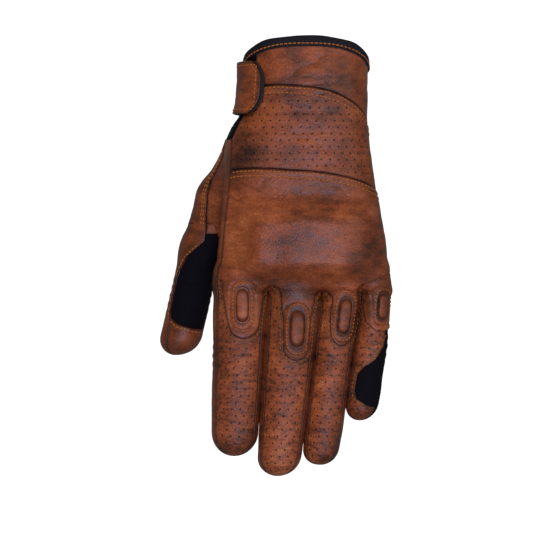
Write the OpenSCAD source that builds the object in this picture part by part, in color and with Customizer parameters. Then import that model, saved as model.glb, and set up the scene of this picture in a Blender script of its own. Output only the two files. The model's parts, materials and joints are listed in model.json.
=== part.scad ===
// Left riding glove, short cuff, shown as it is worn: opening up, back of the hand towards -Y,
// thumb towards -X. Millimetres. The origin is the middle of the wrist opening, level with the
// cuff's side edges. Every leather panel is a closed plate of its own, cut at the real seams and
// at the creases where the glove bends.

/* [Cuff] */
// Width of the cuff across its opening
cuff_w = 72; // [66:1:82]
// Thickness of the cuff, back to palm, at its opening
cuff_t = 50; // [44:1:58]
// Rise of the cuff's edge over the back of the wrist
cuff_arch = 13.5; // [6:0.5:18]
// Height of the binding tape round the edge
binding_h = 6; // [4:0.5:9]
// How far the binding stands proud of the leather on both sides
binding_proud = 0.5; // [0.3:0.1:1]

/* [Hand] */
// Height from the opening down to the index finger's root crease
hand_l = 132; // [120:1:145]
// Thickness of the hand, back to palm, at the finger roots
root_t = 33; // [28:1:40]
// Thickness of the hand at the thumb crotch
crotch_t = 36; // [32:1:44]
// Thickness of the hand where the thumb's root begins
wrist_t = 45; // [40:1:50]
// Width of the wrist towards the thumb, from the middle of the opening
wrist_left = 44; // [40:1:50]
// Width of the wrist towards the little finger, from the middle of the opening
wrist_right = 37.5; // [34:1:42]
// Width of the hand towards the little finger at the thumb crotch
crotch_right = 43.5; // [41:0.5:50]
// Thickness of the leather
leather_t = 1.2; // [0.8:0.1:1.6]
// Gap left between two panels at a seam
seam_gap = 0.4; // [0.3:0.1:0.8]

/* [Fingers] */
// Width of the index finger
index_w = 26; // [22:0.5:30]
// Length of the index finger from its root crease
index_l = 96.6; // [84:1:112]
// Width of the middle finger
middle_w = 24.4; // [21:0.5:29]
// Length of the middle finger from its root crease
middle_l = 106; // [92:1:122]
// Width of the ring finger
ring_w = 20.6; // [18:0.5:26]
// Length of the ring finger from its root crease
ring_l = 100.6; // [88:1:116]
// Width of the little finger
little_w = 18.8; // [16:0.5:24]
// Length of the little finger from its root crease
little_l = 78.2; // [68:1:92]
// Thickness of a finger, back to palm, as a share of its width
finger_flat = 0.92; // [0.8:0.02:1]
// Length of the rounded finger end as a share of the finger's width
tip_round = 0.56; // [0.4:0.02:0.8]

/* [Thumb] */
// Width of the thumb
thumb_w = 24; // [20:0.5:28]
// Length of the thumb from its root crease
thumb_l = 62; // [52:1:72]
// Depth from the opening down to the thumb's root crease
thumb_z = 110; // [102:1:116]
// How far the thumb stands out from the middle of the opening
thumb_out = 61.4; // [59:0.5:67]
// How far the thumb stands in front of the middle of the hand, on the palm side
thumb_front = 24; // [22:0.5:30]
// Lean of the thumb away from the hand, in degrees
thumb_lean = 13; // [8:0.5:18]

/* [Knuckle guard] */
// How far the guard lifts the leather over the knuckles
guard_rise = 6; // [3:0.5:9]
// Thickness of the hard guard shell
guard_t = 2; // [1.5:0.1:3]
// Thickness of the foam under the guard
foam_t = 3.8; // [2:0.2:5]
// Length of the guard along the hand
guard_l = 36; // [28:1:44]
// Thickness of the foam pad under each stitched finger knuckle
pad_t = 2; // [1:0.2:3]

/* [Palm] */
// Width of the palm patch
patch_w = 46; // [36:1:52]
// Length of the palm patch
patch_l = 44; // [34:1:50]

/* [Strap] */
// Width of the wrist strap along the hand
strap_w = 31; // [24:1:34]
// Thickness of the doubled strap leather
strap_t = 1.8; // [1.4:0.1:2.4]
// Thickness of one hook or loop tape
tape_t = 1.1; // [0.8:0.1:1.6]

/* [Travel] */
// Bend of each finger at its root, towards the palm, in degrees
root_bend = 70; // [45:5:80]
// Bend of each finger at its middle joint, in degrees
end_bend = 90; // [60:5:90]
// Swing of the thumb away from the hand, in degrees
thumb_swing = 35; // [20:5:40]
// Bend of the thumb's end joint, in degrees
thumb_bend = 60; // [40:5:80]

/* [Hidden] */
FINGERS = ["index", "middle", "ring", "little"];
PARTS = ["tongue", "root_sides", "root_palm", "pad", "end_back", "end_sides", "end_palm"];

leather_colour = [0.55, 0.31, 0.20];
side_colour = [0.47, 0.25, 0.16];
stretch_colour = [0.05, 0.05, 0.06];
foam_colour = [0.30, 0.30, 0.32];
guard_colour = [0.12, 0.12, 0.13];
lining_colour = [0.20, 0.18, 0.17];

joint_gap = 1;      // between two bodies across a crease
layer_gap = 0.3;    // between two layers that lie on each other
guard_gap = 0.7;    // between the leather and the hard guard under it
square_n = 2.6;     // roundness of the hand's section: 2 is an ellipse, more is squarer
finger_lean = [1.4, 5.7, 8, 8];       // degrees, towards the thumb
tip_gaps = [1, 0.8, 0.8];             // between neighbouring finger ends
root_drops = [0, 2.5, 2, -1.5];       // root crease below the index finger's
finger_ys = [0, -1, 0, 1.5];          // the arch of the hand
root_ls = [38.5, 47.5, 40, 34.5];     // root crease to middle joint
pad_zones = [[1, 23], [6, 34], [2, 28], [2, 21]];
pad_half = 22;      // half of the angle that a knuckle pad spans
side_turn = 34;     // half of the angle that a finger's side strip spans

widths = [index_w, middle_w, ring_w, little_w];
lengths = [index_l, middle_l, ring_l, little_l];

// Room that opens between two neighbours at their roots, because they close up towards the tips
function root_gap(i) = tip_gaps[i]
    + min(lengths[i], lengths[i + 1]) * (tan(finger_lean[i + 1]) - tan(finger_lean[i]));
index_x = -39.3;
function root_x(i) = i == 0 ? index_x
    : root_x(i - 1) + widths[i - 1] / 2 + root_gap(i - 1) + widths[i] / 2;
root_left = -(index_x - index_w / 2) + leather_t + 1.5;
root_right = root_x(3) + little_w / 2 - 3;

back_end_z = -(hand_l + min(root_drops)) + joint_gap + 0.3;
palm_end_z = -(hand_l + min(root_drops)) + 9.5;
strap_end_z = -strap_w - 0.5;
arch_line = [0, cuff_arch, 0];
band_line = [-32, 16.5, -6];
back_line = [-(hand_l - 61), 7.5, -4.5];
gusset_end_z = -45;
palm_cuff_end_z = -34;

seam_back = 152;        // angle of the seam between the back and the thumb side
seam_little = -8;       // angle of the seam along the little finger's edge
seam_gusset = 200;      // angle of the gusset's seam on the palm side
thumb_top_z = -52;      // where the thumb's root leaves the hand

function hand_left(z) = lookup(z, [[-hand_l, root_left], [-hand_l + 13, root_left],
    [-hand_l + 40, wrist_left + 6], [-62, wrist_left + 3], [strap_end_z - 6, wrist_left - 1],
    [strap_end_z, wrist_left - 5], [0, cuff_w / 2]]);
function hand_right(z) = lookup(z, [[-hand_l, root_right], [-hand_l + 13, root_right - 1.2],
    [-hand_l + 40, crotch_right], [-62, wrist_right + 1], [strap_end_z, wrist_right - 1.5],
    [0, cuff_w / 2]]);
function hand_half(z) = lookup(z, [[-hand_l, root_t / 2], [-hand_l + 13, root_t / 2 + 1],
    [-thumb_z, crotch_t / 2], [-62, wrist_t / 2], [strap_end_z, cuff_t / 2 - 1],
    [0, cuff_t / 2]]);

// A closed plate between the face at k = 0 and the one at k = 1. u runs down, v runs from
// the little finger's side over the back to the thumb's. With apex the last row is one point.
module plate(point, nu, nv, apex = false) {
    rows = apex ? nu - 1 : nu;
    layer = (rows + 1) * (nv + 1);
    grid = [for (k = [0, 1]) for (i = [0:rows]) for (j = [0:nv]) point(i / nu, j / nv, k)];
    ends = apex ? [point(1, 0, 0), point(1, 0, 1)] : [];
    at = function(k, i, j) apex && i == nu ? 2 * layer + k : k * layer + i * (nv + 1) + j;
    quads = concat(
        [for (i = [0:nu - 1]) for (j = [0:nv - 1])
            [at(0, i, j), at(0, i + 1, j), at(0, i + 1, j + 1), at(0, i, j + 1)]],
        [for (i = [0:nu - 1]) for (j = [0:nv - 1])
            [at(1, i, j + 1), at(1, i + 1, j + 1), at(1, i + 1, j), at(1, i, j)]],
        [for (i = [0:nu - 1]) [at(0, i + 1, 0), at(0, i, 0), at(1, i, 0), at(1, i + 1, 0)]],
        [for (i = [0:nu - 1]) [at(0, i, nv), at(0, i + 1, nv), at(1, i + 1, nv), at(1, i, nv)]],
        [for (j = [0:nv - 1]) [at(0, 0, j), at(0, 0, j + 1), at(1, 0, j + 1), at(1, 0, j)]],
        apex ? [] : [for (j = [0:nv - 1])
            [at(0, nu, j + 1), at(0, nu, j), at(1, nu, j), at(1, nu, j + 1)]]);
    polyhedron(points = concat(grid, ends),
        faces = [for (q = quads) for (t = [[q[0], q[1], q[2]], [q[0], q[2], q[3]]])
            if (t[0] != t[1] && t[1] != t[2] && t[0] != t[2]) t], convexity = 4);
}

function mix(a, b, t) = a + (b - a) * t;
function ease(t) = let(c = min(1, max(0, t))) c * c * (3 - 2 * c);
function bent(x, n) = sign(x) * pow(abs(x), 2 / n);
// Height of a seam line at an angle round the hand: its level, its arch and its slant
function line_z(line, phi) = line[0] + line[1] * max(0, sin(phi)) + line[2] * cos(phi);

guard_z = -hand_l + 49;         // top of the guard
guard_turn = 50;                // half of the angle that the guard spans round the back
guard_fade = 10;                // how far beyond the guard the leather comes back down
// Lift of the leather over the guard: full above it, easing to nothing around it
function lift(z, phi) = guard_rise
    * ease((guard_z + guard_fade - z) / guard_fade)
    * ease((z - back_end_z) / (guard_z - guard_l - back_end_z))
    * ease((guard_turn + 14 - abs(phi - 90)) / 14);

// A point of the hand at a height and an angle, d inside the leather's outer face
function hand_point(z, phi, d) =
    let(l = hand_left(z), r = hand_right(z))
    [(r - l) / 2 + ((l + r) / 2 - d) * bent(cos(phi), square_n),
     -(hand_half(z) - d + lift(z, phi)) * bent(sin(phi), square_n), z];

// A panel of the hand from line top to line bottom, between two angles, d0 to d1 deep
module hand_panel(top, bottom, phi0, phi1, d0, d1, nu = 8, nv = 10) {
    plate(function(u, v, k) let(phi = mix(phi0, phi1, v))
        hand_point(mix(top(phi), bottom(phi), u), phi, k == 0 ? d0 : d1), nu, nv);
}

function under(line, gap) = function(phi) line_z(line, phi) - gap;
function over(line, gap) = function(phi) line_z(line, phi) + gap;
function level(z) = function(phi) z;
half_gap = seam_gap / 2;
below_binding = under([-binding_h, cuff_arch, 0], seam_gap + 0.2);
// The back's lower edge follows the four root creases from finger to finger
function crease_z(x) = lookup(x, [for (i = [0:3]) each
    [[root_x(i) - widths[i] / 2 - 1, -hand_l - root_drops[i]],
     [root_x(i) + widths[i] / 2 + 1, -hand_l - root_drops[i]]]]) + joint_gap + 0.3;
back_bottom = function(phi) crease_z(hand_point(back_end_z, phi, 0)[0]);

module cuff_binding() {
    turns = 36;
    profile = [[-binding_proud, 0], [leather_t + binding_proud, 0],
        [leather_t + binding_proud, -binding_h], [-binding_proud, -binding_h]];
    points = [for (j = [0:turns - 1]) let(phi = j * 360 / turns) for (p = profile)
        hand_point(0, phi, p[0]) + [0, 0, line_z(arch_line, phi) + p[1]]];
    faces = [for (j = [0:turns - 1]) for (i = [0:3])
        let(a = j * 4 + i, b = j * 4 + (i + 1) % 4, c = ((j + 1) % turns) * 4 + (i + 1) % 4,
            d = ((j + 1) % turns) * 4 + i)
        each [[a, b, c], [a, c, d]]];
    color(stretch_colour) polyhedron(points = points, faces = faces, convexity = 6);
}

module cuff_band() {
    color(leather_colour)
    hand_panel(below_binding, over(band_line, half_gap),
        seam_little + half_gap, seam_back - half_gap, 0, leather_t, 4, 14);
}

module wrist_panel() {
    color(leather_colour)
    hand_panel(under(band_line, half_gap), over(back_line, half_gap),
        seam_little + half_gap, seam_back - half_gap, 0, leather_t, 6, 20);
}

module back_panel() {
    color(leather_colour)
    hand_panel(under(back_line, half_gap), back_bottom,
        seam_little + half_gap, seam_back - half_gap, 0, leather_t, 18, 26);
}

module palm_cuff() {
    color(side_colour)
    hand_panel(below_binding, level(palm_cuff_end_z + half_gap),
        seam_gusset + half_gap, 360 + seam_little - half_gap, 0, leather_t, 4, 12);
}

// Where the thumb's root leaves the hand, on the palm side
function thumb_cut(z) = lookup(z, [[-thumb_z, 217], [thumb_top_z, 192],
    [gusset_end_z - 2, seam_gusset]]);
module palm_panel() {
    color(side_colour)
    plate(function(u, v, k)
        let(z = mix(palm_cuff_end_z - half_gap, palm_end_z, u))
        hand_point(z, mix(thumb_cut(z) + 0.6, 360 + seam_little - 0.6, v), k * leather_t), 24, 12);
}

module thumb_side_panel() {
    color(side_colour)
    plate(function(u, v, k)
        let(foot = v > 0.6 ? palm_end_z : back_end_z, z = mix(gusset_end_z - half_gap, foot, u),
            phi = mix(seam_back + 0.4, mix(180, 200, ease((thumb_top_z - z) / 50)), v))
        hand_point(z, phi, k * leather_t), 10, 5);
}

module wrist_gusset() {
    color(stretch_colour)
    hand_panel(below_binding, level(gusset_end_z + half_gap),
        seam_back + 0.6, seam_gusset - 0.8, 0, 1, 6, 5);
}

// The wall of the hand behind the thumb, closing the index finger's side
module thumb_web() {
    color(stretch_colour)
    plate(function(u, v, k)
        let(z = mix(-thumb_z - seam_gap, palm_end_z, u))
        hand_point(z, mix(200.8, 216.4, v), k * leather_t), 3, 3);
}

// A point on a thumb or finger: s down its axis, phi round it, d inside the outer face.
// tube = [root point, lean, half width, half thickness, length, length of the rounded end]
function tube_axis(tube) = [-sin(tube[1]), 0, -cos(tube[1])];
function tube_across(tube) = [cos(tube[1]), 0, -sin(tube[1])];
function round_off(tube, s, d) = let(start = tube[4] - tube[5],
    t = (s - start) / (tube[5] - d)) t <= 0 ? 1 : sqrt(max(0, 1 - t * t));
function tube_point(tube, s, phi, d) = tube[0] + tube_axis(tube) * s
    + tube_across(tube) * (tube[2] - d) * cos(phi) * round_off(tube, s, d)
    + [0, -(tube[3] - d) * sin(phi) * round_off(tube, s, d), 0];

// A wall of a tube between two angles, from line s0 to line s1, both given by the angle
module tube_wall(tube, s0, s1, phi0, phi1, d0, d1, nu = 6, nv = 5) {
    plate(function(u, v, k) let(phi = mix(phi0, phi1, v))
        tube_point(tube, mix(s0(phi), s1(phi), u), phi, k == 0 ? d0 : d1), nu, nv);
}
// The same, running out to the closed end
module tube_end(tube, s0, phi0, phi1, t, nu = 9, nv = 5) {
    plate(function(u, v, k) let(phi = mix(phi0, phi1, v), end = tube[4] - k * t)
        tube_point(tube, mix(s0(phi), end, sin(90 * u)), phi, k * t), nu, nv, true);
}

// Lower edge of the wall above a joint at s: on the palm side it stops short, so that the
// piece below can bend in under it
function above_joint(tube, s) = function(phi)
    sin(phi) > 0.3 ? s - joint_gap : s - tube[3] - joint_gap;
function at_s(s) = function(phi) s;

function finger_tube(i) = [[root_x(i), finger_ys[i], -hand_l - root_drops[i]], finger_lean[i],
    widths[i] / 2, widths[i] / 2 * finger_flat, lengths[i], widths[i] * tip_round];
turn_gap = 1.2;     // degrees between two walls of a finger

module finger(i, part) {
    tube = finger_tube(i);
    joint = root_ls[i];
    low = above_joint(tube, joint);
    if (part == "tongue") color(leather_colour)
        tube_wall(tube, at_s(0), low, side_turn, 180 - side_turn, 0, leather_t);
    if (part == "root_palm") color(side_colour)
        tube_wall(tube, at_s(0), low, 180 + side_turn, 360 - side_turn, 0, leather_t);
    if (part == "root_sides") color(side_colour)
        for (turn = [0, 180])
            tube_wall(tube, at_s(0), low, turn - side_turn + turn_gap,
                turn + side_turn - turn_gap, 0, leather_t, 5, 4);
    if (part == "pad") color(foam_colour) knuckle_pad(tube, pad_zones[i]);
    if (part == "end_back") color(leather_colour)
        tube_end(tube, at_s(joint), side_turn, 180 - side_turn, leather_t);
    if (part == "end_palm") color(side_colour)
        tube_end(tube, at_s(joint), 180 + side_turn, 360 - side_turn, leather_t);
    if (part == "end_sides") color(side_colour)
        for (turn = i == 3 ? [180] : [0, 180])
            tube_end(tube, at_s(joint), turn - side_turn + turn_gap,
                turn + side_turn - turn_gap, leather_t, 9, 4);
}

// Oval foam pad just under the leather of the tongue
module knuckle_pad(tube, zone) {
    d = leather_t + layer_gap;
    plate(function(u, v, k) let(w = sqrt(1 - pow(0.92 * (2 * u - 1), 2)))
        tube_point(tube, mix(zone[0], zone[1], u), 90 + pad_half * w * (2 * v - 1),
            d + k * pad_t), 8, 4);
}

// Black stretch strip along the little finger's outer side
module little_stretch_insert() {
    tube = finger_tube(3);
    color(stretch_colour)
    tube_end(tube, at_s(root_ls[3]), -side_turn + turn_gap, side_turn - turn_gap,
        leather_t, 9, 4);
}

thumb_joint = 26;       // root crease to the thumb's end joint
insert_end = 46;        // root crease to the lower edge of the stretch insert
thumb_tube = [[-thumb_out, thumb_front, -thumb_z], thumb_lean, thumb_w / 2, thumb_w / 2,
    thumb_l, thumb_w * 0.56];
thumb_turns = [25, 152, 262, 385];  // angles of the thumb's three seams

module thumb_wall(first, part_end) {
    a = thumb_turns[first] + turn_gap / 2;
    b = thumb_turns[first + 1] - turn_gap / 2;
    tube_wall(thumb_tube, at_s(0), part_end, a, b, 0, leather_t);
}
module thumb_base_insert() {
    color(stretch_colour) thumb_wall(0, above_joint(thumb_tube, thumb_joint));
}
module thumb_base_outer() {
    color(side_colour) thumb_wall(1, above_joint(thumb_tube, thumb_joint));
}
module thumb_base_palm() {
    color(side_colour) thumb_wall(2, above_joint(thumb_tube, thumb_joint));
}
module thumb_end_insert() {
    color(stretch_colour)
    tube_wall(thumb_tube, at_s(thumb_joint), at_s(insert_end - half_gap),
        thumb_turns[0] + turn_gap / 2, thumb_turns[1] - turn_gap / 2, 0, leather_t, 5, 6);
}
module thumb_end_cap() {
    color(side_colour)
    tube_end(thumb_tube, at_s(insert_end + half_gap),
        thumb_turns[0] + turn_gap / 2, thumb_turns[1] - turn_gap / 2, leather_t, 6, 6);
}
module thumb_end_outer() {
    color(side_colour)
    tube_end(thumb_tube, at_s(thumb_joint),
        thumb_turns[1] + turn_gap / 2, thumb_turns[2] - turn_gap / 2, leather_t);
}
module thumb_end_palm() {
    color(side_colour)
    tube_end(thumb_tube, at_s(thumb_joint),
        thumb_turns[2] + turn_gap / 2, thumb_turns[3] - turn_gap / 2, leather_t);
}

// Leather that leads from the hand out to the thumb. Its top lies on the hand, its foot is the
// thumb's root ring, and its two sides run down the edges of the opening in the hand. The foot
// is cut back on the outside so that the thumb can swing.
module thumb_root() {
    ring_turns = [62, 350];
    top = function(v, d) hand_point(thumb_top_z - seam_gap, mix(180.8, 191.2, v), d);
    foot = function(v, d) let(psi = mix(ring_turns[0], ring_turns[1], v))
        tube_point(thumb_tube, -joint_gap - max(0, -cos(psi)) * thumb_w / 2 * tan(thumb_swing),
            psi, d);
    edge_angle = function(side, z) side == 0 ? mix(180.8, 200.8, (thumb_top_z - z)
        / (thumb_top_z + thumb_z)) : thumb_cut(z) - 0.8;
    edge_end = function(side, d) hand_point(-thumb_z + 2, edge_angle(side, -thumb_z + 2), d);
    edge = function(side, u, d) let(z = mix(thumb_top_z - seam_gap, -thumb_z + 2, u))
        hand_point(z, edge_angle(side, z), d) + ease(u) * (foot(side, d) - edge_end(side, d));
    color(side_colour)
    plate(function(u, v, k) let(d = k * leather_t,
            ruled = mix(top(v, d), foot(v, d), u),
            left = edge(0, u, d) - mix(top(0, d), foot(0, d), u),
            right = edge(1, u, d) - mix(top(1, d), foot(1, d), u))
        ruled + mix(left, right, v), 9, 14);
}

module knuckle_guard() {
    d = leather_t + guard_gap;
    color(guard_colour)
    hand_panel(level(guard_z), level(guard_z - guard_l), 90 - guard_turn, 90 + guard_turn,
        d, d + guard_t, 9, 16);
}

module guard_foam() {
    d = leather_t + guard_gap + guard_t + layer_gap;
    color(foam_colour)
    hand_panel(level(guard_z), level(guard_z - guard_l), 90 - guard_turn, 90 + guard_turn,
        d, d + foam_t, 9, 16);
}

// Soft lining across the back of the hand, behind the guard and its foam
module back_lining() {
    lining_t = 0.6;
    depth = leather_t + guard_gap + guard_t + foam_t + 2 * layer_gap + 0.3 - guard_rise;
    color(lining_colour)
    plate(function(u, v, k)
        let(phi = mix(32, 148, v), z = mix(-40, back_end_z + 6, u))
        hand_point(z, phi, max(depth, leather_t + layer_gap) + k * lining_t + lift(z, phi)),
        10, 10);
}

// The patch lies flat, tilted with the palm between the two heights that it spans
patch_z = -90;
patch_top = patch_z + patch_l / 2;
patch_tilt = atan((hand_half(patch_top) - hand_half(patch_top - patch_l)) / patch_l);
pad_edge = 1.6;     // foam showing as a raised edge between the palm and the patch
function patch_plane(z) = hand_half(patch_z) + (z - patch_z) * tan(patch_tilt);
patch_off = layer_gap + pad_edge;
patch_x = 3;
module palm_patch() {
    corner = 9;
    steps = 6;
    outline = [for (c = [[1, 1, 0], [-1, 1, 90], [-1, -1, 180], [1, -1, 270]])
        for (i = [0:steps]) let(a = c[2] + 90 * i / steps)
        [c[0] * (patch_w / 2 - corner) + corner * cos(a),
         c[1] * (patch_l / 2 - corner) + corner * sin(a)]];
    color(side_colour)
    translate([patch_x, hand_half(patch_z) + patch_off, patch_z])
    rotate([-90 - patch_tilt, 0, 0]) mirror([0, 1, 0])
    linear_extrude(leather_t) polygon(outline);
}

module palm_pad() {
    inset = 3;
    color(foam_colour)
    plate(function(u, v, k)
        let(z = patch_z + mix(1, -1, u) * (patch_l / 2 - inset),
            x = patch_x + mix(-1, 1, v) * (patch_w / 2 - inset - 1),
            c = (hand_right(z) - hand_left(z)) / 2, a = (hand_left(z) + hand_right(z)) / 2,
            skin = hand_half(z) * pow(1 - pow(abs(x - c) / a, square_n), 1 / square_n))
        [x, k == 0 ? patch_plane(z) + patch_off - layer_gap / 2 : skin + layer_gap, z], 4, 8);
}

// The strap: sewn down on the palm side, round the thumb's edge, its tab on the back
strap_top_z = -0.5;
strap_turns = [127, 179.2, 185.5, 262];   // tab's end, hinge, start of the sewn part, its end
tape_d = -layer_gap - 0.2;
tab_d = tape_d - 2 * tape_t - layer_gap * 1.5;

module loop_patch() {
    color(stretch_colour)
    hand_panel(level(strap_top_z - 2 - binding_h), level(strap_end_z + 2), 124, seam_back - 1,
        tape_d - tape_t, tape_d, 6, 4);
}
module hook_patch() {
    color(stretch_colour)
    hand_panel(level(strap_top_z - 2 - binding_h), level(strap_end_z + 2), strap_turns[0] + 8,
        172, tab_d + layer_gap * 0.5, tab_d + layer_gap * 0.5 + tape_t - 0.2, 6, 6);
}
module strap_tab() {
    color(leather_colour)
    plate(function(u, v, k) let(corner = 12 * pow(abs(2 * u - 1), 3))
        hand_point(mix(strap_top_z, strap_end_z, u),
            mix(strap_turns[0] + corner, strap_turns[1], v), tab_d - (1 - k) * strap_t), 8, 10);
}
module strap_base() {
    color(leather_colour)
    plate(function(u, v, k)
        let(phi = mix(strap_turns[2], strap_turns[3], v),
            settle = ease((v - 0.55) / 0.4),
            d = mix(tab_d, -layer_gap - binding_proud, settle))
        hand_point(mix(strap_top_z, strap_end_z, u), phi, d - (1 - k) * strap_t), 6, 12);
}

cuff_binding();
cuff_band();
palm_cuff();
wrist_panel();
back_panel();
palm_panel();
palm_patch();
palm_pad();
knuckle_guard();
guard_foam();
back_lining();
thumb_side_panel();
thumb_root();
thumb_web();
wrist_gusset();
loop_patch();
strap_base();
strap_tab();
hook_patch();
thumb_base_insert();
thumb_base_outer();
thumb_base_palm();
thumb_end_insert();
thumb_end_cap();
thumb_end_outer();
thumb_end_palm();
little_stretch_insert();
for (i = [0:3]) for (part = PARTS)
    finger(i, part);
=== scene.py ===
# %% [markdown]
# # A leather riding glove
# The glove is a left short-cuff riding glove of waxed brown leather. This lesson skins the packed
# frame with leather panels, stretch inserts, padded knuckles, binding tape and thread. Every panel
# is worked out with numpy as a grid of points on one shared outer shape, so that neighbours meet
# exactly at their seams. Lengths are in millimetres until a mesh is written.

# %% Open the frame
import json
import math
import bpy
import numpy as np
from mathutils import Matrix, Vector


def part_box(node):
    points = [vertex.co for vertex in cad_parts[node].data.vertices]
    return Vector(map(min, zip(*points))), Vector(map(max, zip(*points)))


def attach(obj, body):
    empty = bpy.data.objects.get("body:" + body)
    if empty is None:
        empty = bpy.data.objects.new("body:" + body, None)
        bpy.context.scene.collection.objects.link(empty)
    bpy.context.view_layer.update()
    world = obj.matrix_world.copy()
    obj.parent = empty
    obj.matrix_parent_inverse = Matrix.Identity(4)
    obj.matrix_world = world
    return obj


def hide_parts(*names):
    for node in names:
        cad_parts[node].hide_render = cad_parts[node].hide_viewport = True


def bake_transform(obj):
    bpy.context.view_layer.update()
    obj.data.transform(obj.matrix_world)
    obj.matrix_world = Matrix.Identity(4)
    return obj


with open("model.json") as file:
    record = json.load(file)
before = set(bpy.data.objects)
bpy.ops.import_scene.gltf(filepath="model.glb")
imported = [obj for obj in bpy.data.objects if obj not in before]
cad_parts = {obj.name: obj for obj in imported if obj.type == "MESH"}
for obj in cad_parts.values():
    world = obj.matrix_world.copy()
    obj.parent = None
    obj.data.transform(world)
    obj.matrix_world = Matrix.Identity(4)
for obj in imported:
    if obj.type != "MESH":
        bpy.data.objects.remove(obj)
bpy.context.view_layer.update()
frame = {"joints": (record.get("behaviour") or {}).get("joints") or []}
MM = 0.001
hinges = {joint["name"]: joint for joint in frame["joints"]}


def box_mm(node):
    """Lowest and highest corner of a frame node, in millimetres."""
    low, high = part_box(node)
    return np.array(low) / MM, np.array(high) / MM


def hinge_at(name):
    """Where a hinge turns, in millimetres."""
    return np.array(hinges[name]["pos_m"], float) / MM


# %% [markdown]
# ## The outer shape
# A worn glove is one swollen form: a flattened tube for the hand, four finger tubes and a thumb
# that grows out of the palm side. It could be sculpted, but a formula keeps every panel on the
# same form. So the shape is a field: a number for each point that is about the distance to the
# leather, negative inside. Fields of simple forms are merged with a rounded minimum, which gives
# the soft webs between the fingers.

# %% Curves and rounded minimum


def curve(x, knots):
    """A smooth line through (place, value) knots that never overshoots: cubic steps whose slope
    at a knot is the harmonic mean of the slopes beside it, flat beyond the ends."""
    p, v = np.array(sorted(map(tuple, knots)), float).T
    h = np.diff(p)
    d = np.diff(v) / h
    m = np.zeros(len(p))
    same = d[:-1] * d[1:] > 0
    m[1:-1][same] = 2 * d[:-1][same] * d[1:][same] / (d[:-1] + d[1:])[same]
    i = np.clip(np.searchsorted(p, x) - 1, 0, len(p) - 2)
    t = np.clip((x - p[i]) / h[i], 0, 1)
    return (v[i] * (1 + 2 * t) * (1 - t) ** 2 + v[i + 1] * t * t * (3 - 2 * t)
            + h[i] * t * (1 - t) * (m[i] * (1 - t) - m[i + 1] * t))


def ease(t):
    """0 below 0, 1 above 1, and a smooth step between: 3 t squared minus 2 t cubed."""
    t = np.clip(t, 0, 1)
    return t * t * (3 - 2 * t)


def soft_min(a, b, k):
    """The smaller of two fields, rounded where they differ by less than k."""
    h = np.clip(0.5 + 0.5 * (b - a) / k, 0, 1)
    return b + (a - b) * h - k * h * (1 - h)


def soft_max(a, b, k):
    """The larger of two fields, rounded the same way."""
    return -soft_min(-a, -b, k)


# %% The hand
SQUARE = 2.6
LEFT = [(0, 36), (-15, 36.8), (-31, 39), (-38, 43), (-45, 45.3), (-62, 47.5), (-90, 49.5),
        (-110, 51.3), (-121, 52.3), (-135, 53.2)]
RIGHT = [(14, 35.8), (0, 36), (-32, 35.6), (-43, 36.2), (-57, 37.7), (-75, 40.4), (-89, 42.9),
         (-103, 45.2), (-115, 46.6), (-124, 47.8), (-135, 49)]
HALF = [(0, 25), (-32, 24), (-62, 22.5), (-91, 19.8), (-110, 18), (-120, 16.6), (-128, 14.6),
        (-138, 13)]
HAND_END = -131


def hand_section(z):
    """Middle, half width and half thickness of the hand at a height."""
    left, right = curve(z, LEFT), curve(z, RIGHT)
    return (right - left) / 2, (left + right) / 2, curve(z, HALF)


def guard_lift(x, z):
    """How far the hard guard under the leather lifts it: a plateau over the knuckles that falls
    off at its edges, with a soft ridge along each knuckle."""
    across = ease((x + 45) / 19) * ease((48 - x) / 18)
    along = ease((-76 - z) / 19) * ease((z + 130) / 15)
    ridges = 0.5 * np.cos((x + 4.5) * 2 * np.pi / 27)
    return across * along * (7.0 + ridges * ease((-92 - z) / 20))


def hand_field(p):
    """Superellipse section: (|x/a|^n + |y/b|^n)^(1/n) - 1, divided by its slope, closed off
    below the knuckles."""
    x, y, z = p[..., 0], p[..., 1], p[..., 2]
    c, a, b = hand_section(z)
    b = b + np.where(y < 0, guard_lift(x, z), 0)
    u, v = np.abs(x - c) / a + 1e-6, np.abs(y) / b + 1e-6
    s = u ** SQUARE + v ** SQUARE
    slope = s ** (1 / SQUARE - 1) * np.hypot(u ** (SQUARE - 1) / a, v ** (SQUARE - 1) / b)
    return soft_max((s ** (1 / SQUARE) - 1) / slope, HAND_END - z, 5)


# %% The fingers and the thumb
FINGERS = ("index", "middle", "ring", "little")
HALF_WIDTH = {"index": 13.4, "middle": 12.75, "ring": 10.9, "little": 9.85}
FLATNESS = 0.93
FILL = {"index": (1.0, 4.7), "middle": (4.4, 2.7), "ring": (2.6, 0), "little": (0, 0)}
TUCK, TOP_TUCK = 3.2, 4      # how much the little finger's outer side is drawn in at and above its root
TIP_ROUND = {"index": 13.5, "middle": 12.5, "ring": 11, "little": 10.5}
PROFILE = [(0, 1.0), (0.2, 1.0), (0.36, 0.99), (0.5, 1.01), (0.72, 1.0), (0.9, 0.97), (1, 0.95)]


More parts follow.
